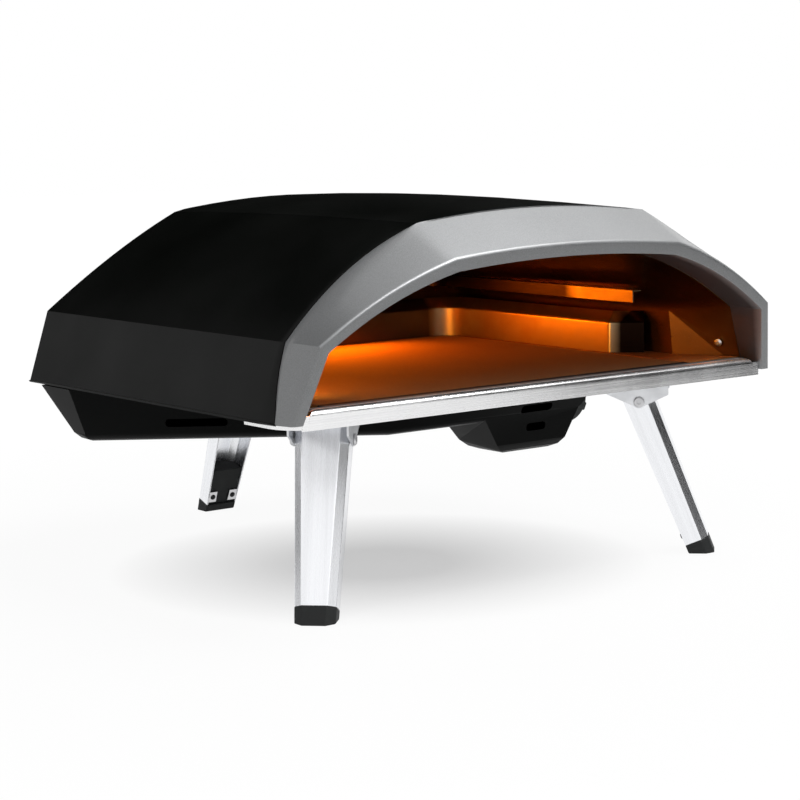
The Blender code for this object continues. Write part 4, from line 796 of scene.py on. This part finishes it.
def arch(foot, crease, top, bulge, crown):
    """From the right foot over the crown to the left foot."""
    left_foot, left_crease, left_top = ((-x, *rest) for x, *rest in (foot, crease, top))
    points = [foot]
    points += bulged(foot, crease, 0, SIDE_STEPS)
    points += bulged(crease, top, -bulge, SHOULDER_STEPS)
    points += bulged(top, left_top, -crown, SHOULDER_STEPS)
    points += bulged(left_top, left_crease, -bulge, SHOULDER_STEPS)
    points += bulged(left_crease, left_foot, 0, SIDE_STEPS)
    return points


def seam_line():
    """How far behind the shell's front the fascia's seam lies, at each point of an arch."""
    side = [1 - (1 - step / SIDE_STEPS) ** 2 for step in range(SIDE_STEPS + 1)]
    side += [1 - (step / SHOULDER_STEPS) ** SEAM_FADE for step in range(1, SHOULDER_STEPS + 1)]
    shares = side + [0] * (SHOULDER_STEPS - 1) + side[::-1]
    return [SEAM_SET_BACK * share for share in shares]


def shell_row(y):
    """The shell's arch at this place along its length."""
    share = (y - SHELL_FRONT) / (REAR_CENTRE - SHELL_FRONT)
    bow = 4 * share * (1 - share)
    top = TOP_HEIGHT - TOP_FALL * share + TOP_BOW * bow
    crown = TOP_CROWN + CROWN_BOW * bow
    corners = (SHELL_HALF, SHELL_BOTTOM), (CREASE_HALF, CREASE_HEIGHT), (TOP_HALF, top)
    return [(x, y, z) for x, z in arch(*corners, SHOULDER_BULGE, crown)]


def rear_planes():
    """The rear facets as (point, outward normal)."""
    slope = (REAR_CENTRE - REAR_CORNER) / (SHELL_HALF - REAR_FACET_HALF)
    crease_y = REAR_CENTRE - REAR_LOW_LEAN * (CREASE_HEIGHT - SHELL_BOTTOM)
    low = (REAR_LOW_LEAN, REAR_CENTRE, SHELL_BOTTOM)
    high = (REAR_HIGH_LEAN, crease_y, CREASE_HEIGHT)
    for lean, y, z in (low, high):
        for side in (-1, 0, 1):
            normal = Vector((side * slope, 1, lean)).normalized()
            yield Vector((side * REAR_FACET_HALF, y, z)), normal


def flange_point(point):
    """Where the shell's bottom flange ends, inwards of this point of its outer edge."""
    corners = [(SHELL_HALF, REAR_CORNER), (REAR_FACET_HALF, REAR_CENTRE)]
    corners += [(-x, y) for x, y in reversed(corners)]
    outline = [(SHELL_HALF, SHELL_FRONT), *corners, (-SHELL_HALF, SHELL_FRONT)]
    inner = inset(outline, -SHELL_FLANGE)
    for corner, place in zip(outline[1:-1], inner[1:-1]):
        if math.dist(corner, point[:2]) < NEAR_CORNER:
            return place
    if point.y > REAR_CENTRE - NEAR_CORNER:
        return point.x, point.y - SHELL_FLANGE
    if point.y > REAR_CORNER:
        across = Vector((REAR_CENTRE - REAR_CORNER, SHELL_HALF - REAR_FACET_HALF))
        across *= SHELL_FLANGE / across.length
        return point.x - math.copysign(across.x, point.x), point.y - across.y
    width = SHELL_FRONT_FLANGE if point.y < FLANGE_STEP else SHELL_FLANGE
    return point.x - math.copysign(width, point.x), point.y


# Operators


class Maker:
    """An operator that makes some of the oven's pieces."""

    def execute(self, context):
        self.make(context.scene)
        return {"FINISHED"}


class OVEN_OT_shell(Maker, bpy.types.Operator):
    """Makes the folded outer shell with its rear facets and bottom flange"""

    bl_idname = "oven.shell"
    bl_label = "Outer shell"

    def make(self, scene):
        sizes = scene.oven_sizes
        length = REAR_CENTRE - SHELL_FRONT
        seam = [shell_row(SHELL_FRONT + back)[i] for i, back in enumerate(seam_line())]
        rows = [seam, shell_row(SHELL_FRONT + SEAM_NEXT_ROW)]
        backs = (length * step / SHELL_ROWS for step in range(1, SHELL_ROWS + 1))
        rows += [shell_row(SHELL_FRONT + back) for back in backs]
        edit = sheet_of([row + row[:1] for row in rows])
        cap_ends(edit)
        cut_off(edit, rear_planes())
        for axis in (1, 2):
            open_faces = [face for face in edit.faces if face.normal[axis] < -0.9]
            bmesh.ops.delete(edit, geom=open_faces, context="FACES")
        base = [edge for edge in edit.edges if on_base(edge)]
        for corner in bmesh.ops.extrude_edge_only(edit, edges=base)["geom"]:
            if isinstance(corner, bmesh.types.BMVert):
                corner.co = (*flange_point(corner.co), SHELL_BOTTOM)
        round_edges(edit, sizes.crease, 4, FOLD_ANGLE, lambda edge: not on_base(edge))
        round_edges(edit, FLANGE_ROUNDING, 3, 50, on_base)
        nodes = ("outer_shell",)
        piece("shell_skin", edit, "shell", "oven", nodes, wall=sizes.skin, crease=40)


class OVEN_OT_fascia(Maker, bpy.types.Operator):
    """Makes the silver fascia with its rounded ridge and the return into the mouth"""

    bl_idname = "oven.fascia"
    bl_label = "Front fascia"

    def make(self, scene):
        sizes = scene.oven_sizes
        edge = [(x, FASCIA_BACK, z) for x, _, z in shell_row(SHELL_FRONT)]
        ridge = arch(*RIDGE, RIM_BULGE, RIM_CROWN)
        rim = arch(*RIM, RIM_BULGE, RIM_CROWN)
        last = len(edge) - 1
        rows, peaks, lips = [], [], []
        for i, (bend, peak, lip, back) in enumerate(zip(edge, ridge, rim, seam_line())):
            nose = Vector((0, RIDGE_NOSE * math.sin(math.pi * i / last), 0))
            seam = Vector(shell_row(FASCIA_BACK + max(back - SEAM_GAP, 0))[i])
            bend = Vector(bend)
            peak = Vector(peak) - nose
            lip = Vector(lip) - nose
            down = bend + (peak - bend).normalized() * back
            row = [
                seam.lerp(bend, share).lerp(bend.lerp(down, share), share)
                for share in SEAM_CURVE_SHARES
            ]
            row += [peak, lip, Vector((lip.x, RETURN_BACK, lip.z))]
            if i in (0, last):
                for point in row:
                    point.z = SHELL_BOTTOM
            rows.append(row)
            peaks.append(peak)
            lips.append(lip)
        edit = sheet_of(rows)
        bmesh.ops.recalc_face_normals(edit, faces=edit.faces)
        crown = max(edit.faces, key=lambda face: face.calc_center_median().z)
        if crown.normal.z < 0:
            bmesh.ops.reverse_faces(edit, faces=edit.faces)
        # The return's back edge, where the enamel's painted shade is darkest
        inner = edit.verts.layers.float.new("inner")
        for corner in edit.verts:
            corner[inner] = abs(corner.co.y - RETURN_BACK) < ON_PLANE
        round_edges(edit, sizes.ridge, 6, FOLD_ANGLE, lambda edge: on_line(edge, peaks))
        round_edges(edit, RIM_ROUNDING, 3, FOLD_ANGLE, lambda edge: on_line(edge, lips))
        nodes = ("front_fascia",)
        piece("fascia_skin", edit, "fascia", "oven", nodes, wall=sizes.skin, crease=25)


class OVEN_OT_floor(Maker, bpy.types.Operator):
    """Makes the floor plate, the brushed sill with its ends, and the stone"""

    bl_idname = "oven.floor"
    bl_label = "Floor, sill and stone"

    def make(self, scene):
        dressed("floor_plate", "floor")
        dressed("front_sill", "sill", width=scene.oven_sizes.edge, crease=25)
        for name, side in (("left", -1), ("right", 1)):
            inner, outer = side * SILL_END_INNER, side * SILL_END_OUTER
            outline = [(inner, SILL_END_FRONT), (outer, SILL_END_FRONT)]
            outline += [(outer, SILL_END_BACK), (inner, SILL_END_BACK)]
            end = block(outline, SILL_END_BOTTOM, SILL_END_TOP)
            piece(f"sill_end_{name}", end, "sill", "oven", ())
        (left, front, low), (right, back, high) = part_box("baking_stone")
        corner = arc((right - STONE_CORNER, back - STONE_CORNER), STONE_CORNER)
        stone = block([(left, front), (right, front), *corner, (left, back)], low, high)
        round_edges(stone, STONE_ROUNDING, 3, 60)
        piece("stone_slab", stone, "stone", "stone", ("baking_stone",))


class OVEN_OT_chamber(Maker, bpy.types.Operator):
    """Makes the heat-tinted liner, shelf, guard and deflector round the stone"""

    bl_idname = "oven.chamber"
    bl_label = "Chamber"

    def make(self, scene):
        dressed("chamber_liner", "liner")
        dressed("liner_rear_wall", "liner")
        dressed("burner_shelf", "shelf", width=FINE_EASE)
        for side in ("left", "right"):
            dressed(f"liner_screw_{side}", "steel")
        x, y = GUARD_LINE
        centre = (x - GUARD_CORNER, y - GUARD_CORNER)
        bend = GUARD_RETURN_BEND
        path = [(x + GUARD_RETURN, GUARD_FRONT - GUARD_RETURN)]
        path += [(x + bend, GUARD_FRONT - bend), (x, GUARD_FRONT + bend)]
        path += arc(centre, GUARD_CORNER)
        path.append((GUARD_LEFT, y))
        top = GUARD_BASE + GUARD_RISE
        profile = [(0, GUARD_BASE)]
        profile += [(outwards, top + upwards) for outwards, upwards in GUARD_FLARE]
        rows = [[(*point, height) for point in inset(path, offset)] for offset, height in profile]
        guard = sheet_of(rows)
        bmesh.ops.recalc_face_normals(guard, faces=guard.faces)
        nodes = ("burner_guard",)
        piece("guard_strip", guard, "guard", "oven", nodes, wall=GUARD_SHEET, crease=50)
        dressed("flame_deflector", "deflector")


class OVEN_OT_burner(Maker, bpy.types.Operator):
    """Makes the burner tube, its supports and the igniter"""

    bl_idname = "oven.burner"
    bl_label = "Burner"

    def make(self, scene):
        dressed("burner_tube", "burner", crease=40)
        for end in ("front", "rear"):
            dressed(f"burner_support_{end}", "burner", width=FINE_EASE)
        dressed("igniter_ceramic", "ceramic", width=GLAZE_EASE)
        dressed("igniter_tip", "steel", crease=70)


class OVEN_OT_pan(Maker, bpy.types.Operator):
    """Makes the belly pan and its screws"""

    bl_idname = "oven.pan"
    bl_label = "Belly pan"

    def make(self, scene):
        dressed("belly_pan", "pan", crease=42)
        for number in range(1, 5):
            dressed(f"pan_screw_{number}", "steel")


class OVEN_OT_gas(Maker, bpy.types.Operator):
    """Makes the valve, its plug and stem, and the gas way"""

    bl_idname = "oven.gas"
    bl_label = "Valve and gas way"

    def make(self, scene):
        dressed("valve_body", "brass", width=EASE)
        dressed("valve_plug", "brass", "plug", width=FINE_EASE)
        dressed("valve_stem", "steel", "knob")
        dressed("gas_jet", "brass", width=FINE_EASE)
        dressed("mixing_tube", "steel")
        dressed("supply_pipe", "brass", crease=50)
        dressed("gas_inlet", "brass", width=EASE)
        for number in (1, 2):
            dressed(f"valve_screw_{number}", "steel")


class OVEN_OT_knob(Maker, bpy.types.Operator):
    """Makes the ribbed control knob with its grip bar"""

    bl_idname = "oven.knob"
    bl_label = "Control knob"

    def make(self, scene):
        face = KNOB_GAP + KNOB_HEIGHT - KNOB_GRIP_HEIGHT
        inner = (KNOB_RADIUS - KNOB_SKIRT, face - KNOB_FACE_SHEET)
        profile = [(0, inner[1]), inner, (inner[0], KNOB_GAP), (KNOB_RADIUS, KNOB_GAP)]
        profile += [(KNOB_RADIUS - inwards, face - downwards) for inwards, downwards in KNOB_RIM]
        cap = turned(profile + [(0, face)], KNOB_STEPS)
        for corner in cap.verts:
            radius = math.hypot(corner.co.x, corner.co.y)
            step = round(math.atan2(corner.co.y, corner.co.x) * KNOB_STEPS / (2 * math.pi))
            if radius > KNOB_RADIUS - KNOB_GROOVE_DEPTH / 2 and step % KNOB_GROOVE_EVERY == 0:
                share = 1 - KNOB_GROOVE_DEPTH / radius
                corner.co.x *= share
                corner.co.y *= share
        half = KNOB_GRIP_WIDTH / 2
        reach = KNOB_RADIUS - KNOB_GRIP_MARGIN
        outline = [(-half, -reach), (half, -reach), (half, reach), (-half, reach)]
        grip = block(outline, face - KNOB_GRIP_SINK, face + KNOB_GRIP_HEIGHT)
        round_edges(grip, KNOB_GRIP_ROUNDING, 4, 60)
        top = face - KNOB_HUB_SINK
        profile = [(0, KNOB_HUB_START), (KNOB_HUB_RADIUS, KNOB_HUB_START), (KNOB_HUB_RADIUS, top)]
        hub = turned(profile + [(0, top)])
        knob = joined(joined(cap, grip), hub)
        turn = Matrix.Rotation(math.pi / 2 + KNOB_LEAN, 4, "Y")
        move(knob, Matrix.Translation(KNOB_PLACE) @ turn)
        piece("knob_cap", knob, "plastic", "knob", ("control_knob",), crease=35)


def leg_outline(down, grow=0):
    """The leg's outer outline, from its open side's left edge to its right; +Y is outwards."""
    share = down / LEG_RUN
    half = (LEG_WIDTH + (LEG_FOOT_WIDTH - LEG_WIDTH) * share) / 2 + grow
    depth = (LEG_DEPTH + (LEG_FOOT_DEPTH - LEG_DEPTH) * share) / 2 + grow
    right = [(half - LEG_CHAMFER, depth), (half, depth - LEG_CHAMFER), (half, -depth)]
    return [(-x, y) for x, y in reversed(right)] + right


def leg_body(outline_at, planes, closed=True):
    """A tapering body along the leg, cut off at planes of (point, outward normal)."""
    rows = []
    for down in (-LEG_OVERRUN, LEG_RUN + LEG_OVERRUN):
        row = [(x, y, -down) for x, y in outline_at(down)]
        rows.append(row + row[:1] if closed else row)
    edit = sheet_of(rows)
    if closed:
        cap_ends(edit)
    cut_off(edit, planes, closed)
    return edit


def ground_plane():
    """The level ground, as the tilted leg meets it."""
    return Vector((0, 0, -LEG_RUN)), Vector((0, -math.sin(LEG_TILT), -math.cos(LEG_TILT)))


def square_plane(down, facing=1):
    """A cut square to the leg; what lies above it goes, or below it where facing is -1."""
    return Vector((0, 0, -down)), Vector((0, 0, facing))


def leg_place(name):
    """Where this leg's own axes lie on the oven: +Z up the leg from its hinge."""
    hinge, turn = LEGS[name]
    tilted = Matrix.Rotation(turn, 4, "Z") @ Matrix.Rotation(LEG_TILT, 4, "X")
    return Matrix.Translation((*hinge, HINGE_HEIGHT)) @ tilted


class OVEN_OT_legs(Maker, bpy.types.Operator):
    """Makes the folded channel legs with their tabs, inserts, buttons and feet"""

    bl_idname = "oven.legs"
    bl_label = "Folding legs"

    def make(self, scene):
        for name in LEGS:
            self.make_channel(name)
            self.make_tabs(name)
            self.make_foot(name)

    def make_channel(self, name):
        slope = (LEG_HEAD - LEG_HEAD_INNER) / LEG_DEPTH
        middle = Vector((0, 0, (LEG_HEAD + LEG_HEAD_INNER) / 2))
        head = (middle, Vector((0, -slope, 1)).normalized())
        foot = square_plane(LEG_RUN - FOOT_HEIGHT - FOOT_GAP, -1)
        channel = leg_body(leg_outline, [head, foot], closed=False)
        outer = max(channel.faces, key=lambda face: face.calc_center_median().y)
        if outer.normal.y < 0:
            bmesh.ops.reverse_faces(channel, faces=channel.faces)
        round_edges(channel, LEG_ROUNDING, 3)
        move(channel, leg_place(name))
        leg = f"{name}_leg"
        nodes = (f"leg_{name}",)
        piece(f"{name}_channel", channel, leg, leg, nodes, wall=LEG_SHEET, crease=40)

    def make_tabs(self, name):
        """The two tabs that fold in across the channel's open side above the foot."""
        tabs = []
        for side in (-1, 1):
            rows = []
            for down in (LEG_RUN - TAB_BOTTOM, LEG_RUN - TAB_TOP):
                edge_x, edge_y = leg_outline(down)[-1]
                near = edge_y + TAB_GAP
                far = near + LEG_SHEET
                outer, inner = edge_x - TAB_SIDE_GAP, edge_x - TAB_REACH
                ring = [(outer, near), (inner, near), (inner, far), (outer, far)]
                ring = [(side * x, y, -down) for x, y in ring]
                rows.append(ring + ring[:1])
            tab = sheet_of(rows)
            cap_ends(tab)
            round_edges(tab, FINE_EASE, 2, 60)
            tabs.append(tab)
        both = joined(*tabs)
        move(both, leg_place(name))
        piece(f"{name}_tabs", both, "steel", f"{name}_leg", (f"leg_{name}",))

    def make_foot(self, name):
        """The rubber foot with the insert that fills the channel's end and its two buttons."""
        foot = leg_body(
            lambda down: leg_outline(down, FOOT_PROUD),
            [ground_plane(), square_plane(LEG_RUN - FOOT_HEIGHT)],
        )
        round_edges(foot, FOOT_ROUNDING, 3)
        insert = leg_body(
            self.insert_outline,
            [square_plane(LEG_RUN - INSERT_BOTTOM, -1), square_plane(LEG_RUN - INSERT_HEIGHT)],
        )
        round_edges(insert, INSERT_ROUNDING)
        foot = joined(foot, insert)
        down = LEG_RUN - (TAB_TOP + TAB_BOTTOM) / 2
        edge_x, edge_y = leg_outline(down)[-1]
        profile = [(0, 0)]
        profile += [(BUTTON_RADIUS - inwards, height) for inwards, height in BUTTON_EDGE]
        for side in (-1, 1):
            button = turned(profile, BUTTON_STEPS)
            x = side * (edge_x - TAB_REACH / 2 - LEG_SHEET / 2)
            seat = Matrix.Translation((x, edge_y + BUTTON_BASE, -down))
            move(button, seat @ Matrix.Rotation(math.pi / 2, 4, "X"))
            foot = joined(foot, button)
        move(foot, leg_place(name))
        piece(f"{name}_foot", foot, "rubber", f"{name}_leg", (f"foot_{name}",))

    def insert_outline(self, down):
        outline = leg_outline(down)
        front = outline[-1][1] + INSERT_SET_BACK
        return [(x, max(y, front)) for x, y in inset(outline, INSERT_SIDE_GAP)]


class OVEN_OT_hinges(Maker, bpy.types.Operator):
    """Makes the plates, brackets, hinge pins and rivets of the legs"""

    bl_idname = "oven.hinges"
    bl_label = "Hinges"

    def make(self, scene):
        for side in ("left", "right", "rear"):
            dressed(f"leg_plate_{side}", "steel", width=FINE_EASE)
        for name in LEGS:
            dressed(f"bracket_{name}", "bracket", width=EASE)
            dressed(f"hinge_pin_{name}", "steel")
            for number in (1, 2):
                dressed(f"rivet_{name}_{number}", "steel")


# Stage


def lamp(name, place, aim, energy, size, colour=WHITE, glint=False):
    """A soft lamp, this wide and high; a glint is seen only as a highlight."""
    light = bpy.data.lights.new(name, "AREA")
    light.shape = "ELLIPSE"
    light.energy = energy
    light.size, light.size_y = size
    light.color = colour
    made = bpy.data.objects.new(name, light)
    made.location = place
    made.rotation_euler = (Vector(aim) - Vector(place)).to_track_quat("-Z", "Y").to_euler()
    made.visible_camera = False
    made.visible_diffuse = not glint
    bpy.context.scene.collection.objects.link(made)


def flat(name, width, height, finish, place=Matrix()):
    """A flat sheet of the stage."""
    edit = bmesh.new()
    bmesh.ops.create_grid(edit, x_segments=1, y_segments=1, size=0.5)
    bmesh.ops.scale(edit, vec=(width, height, 1), verts=edit.verts)
    move(edit, place)
    mesh = bpy.data.meshes.new(name)
    edit.to_mesh(mesh)
    edit.free()
    mesh.materials.append(finish)
    made = bpy.data.objects.new(name, mesh)
    bpy.context.scene.collection.objects.link(made)
    return made


def card(name, place, aim, width, height):
    """A dark card outside the picture, which darkens what mirrors it."""
    felt = new_finish(f"{name}_felt")
    felt.surface(Base_Color=(0.002, 0.002, 0.002), Roughness=1, Specular_IOR_Level=0)
    turn = (Vector(aim) - Vector(place)).to_track_quat("Z", "Y").to_matrix().to_4x4()
    made = flat(name, width, height, felt.owner, Matrix.Translation(place) @ turn)
    made.visible_camera = False


class OVEN_OT_stage(Maker, bpy.types.Operator):
    """Makes the camera, the soft studio light and the pale floor"""

    bl_idname = "oven.stage"
    bl_label = "Stage"

    def make(self, scene):
        scene.view_settings.view_transform = "Standard"
        self.make_camera(scene)
        self.make_floor()
        self.make_world(scene)
        for facts in LAMPS:
            lamp(*facts)
        for facts in CARDS:
            card(*facts)

    def make_camera(self, scene):
        data = bpy.data.cameras.new("camera")
        data.lens = CAMERA_LENS
        data.sensor_width = CAMERA_SENSOR
        camera = bpy.data.objects.new("camera", data)
        columns = [Vector(CAMERA_RIGHT), Vector(CAMERA_UP), -Vector(CAMERA_AHEAD)]
        turn = Matrix(columns).transposed().to_4x4()
        camera.matrix_world = Matrix.Translation(CAMERA_PLACE) @ turn
        scene.collection.objects.link(camera)
        scene.camera = camera

    def make_floor(self):
        """A white floor that keeps the shadow under the oven and fades to plain white round it."""
        finish = new_finish("white_floor")
        finish.surface(Base_Color=(0.82, 0.82, 0.82), Roughness=0.5, Specular_IOR_Level=0.2)
        lit = Number(finish, finish.tree.nodes["Principled BSDF"].outputs[0])
        glow = finish.node("ShaderNodeEmission", None, {"Color": (1, 1, 1), "Strength": FLOOR_GLOW})
        at = finish.node("ShaderNodeTexCoord", output="Object")
        ends = {0: at, 1: SHADOW_CENTRE}
        away = finish.node("ShaderNodeVectorMath", {"operation": "DISTANCE"}, ends, "Value")
        share = sum(finish.spread(away, *fade) for fade in SHADOW_FADES)
        seen = finish.spread(finish.seen_directly(), 0, 1)
        mixed = finish.node("ShaderNodeMixShader", None, {0: seen * share, 1: lit, 2: glow})
        finish.feed(finish.tree.nodes["Material Output"].inputs["Surface"], mixed)
        floor = flat("studio_floor", FLOOR_WIDTH, FLOOR_WIDTH, finish.owner)

    def make_world(self, scene):
        world = bpy.data.worlds.new("studio")
        scene.world = world
        world.cycles.sampling_method = "NONE"
        air = Finish(world)
        back = air.tree.nodes["Background"]
        air.feed(back.inputs["Color"], (1, 1, 1))
        air.feed(back.inputs["Strength"], air.spread(air.seen_directly(), 0, 1, AIR_LIGHT, 1))


class OVEN_PT_panel(bpy.types.Panel):
    """Lists the oven's pieces, sizes and colours"""

    bl_idname = "OVEN_PT_panel"
    bl_label = "Oven"
    bl_space_type = "VIEW_3D"
    bl_region_type = "UI"
    bl_category = "Oven"

    def draw(self, context):
        for group in (context.scene.oven_sizes, context.scene.oven_colours):
            for name in group.bl_rna.properties.keys():
                if name not in ("name", "rna_type"):
                    self.layout.prop(group, name)
        for maker in MAKERS:
            self.layout.operator(maker.bl_idname)


MAKERS = (
    OVEN_OT_stage,
    OVEN_OT_shell,
    OVEN_OT_fascia,
    OVEN_OT_floor,
    OVEN_OT_chamber,
    OVEN_OT_burner,
    OVEN_OT_pan,
    OVEN_OT_gas,
    OVEN_OT_knob,
    OVEN_OT_legs,
    OVEN_OT_hinges,
)
CLASSES = (OvenSizes, OvenColours, *MAKERS, OVEN_PT_panel)


def register():
    for made in CLASSES:
        bpy.utils.register_class(made)
    bpy.types.Scene.oven_sizes = PointerProperty(type=OvenSizes)
    bpy.types.Scene.oven_colours = PointerProperty(type=OvenColours)


def unregister():
    del bpy.types.Scene.oven_colours
    del bpy.types.Scene.oven_sizes
    for made in reversed(CLASSES):
        bpy.utils.unregister_class(made)


def main():
    """Makes every piece in order."""
    register()
    mix_finishes()
    for maker in MAKERS:
        group, action = maker.bl_idname.split(".")
        getattr(getattr(bpy.ops, group), action)()


if __name__ == "__main__":
    main()
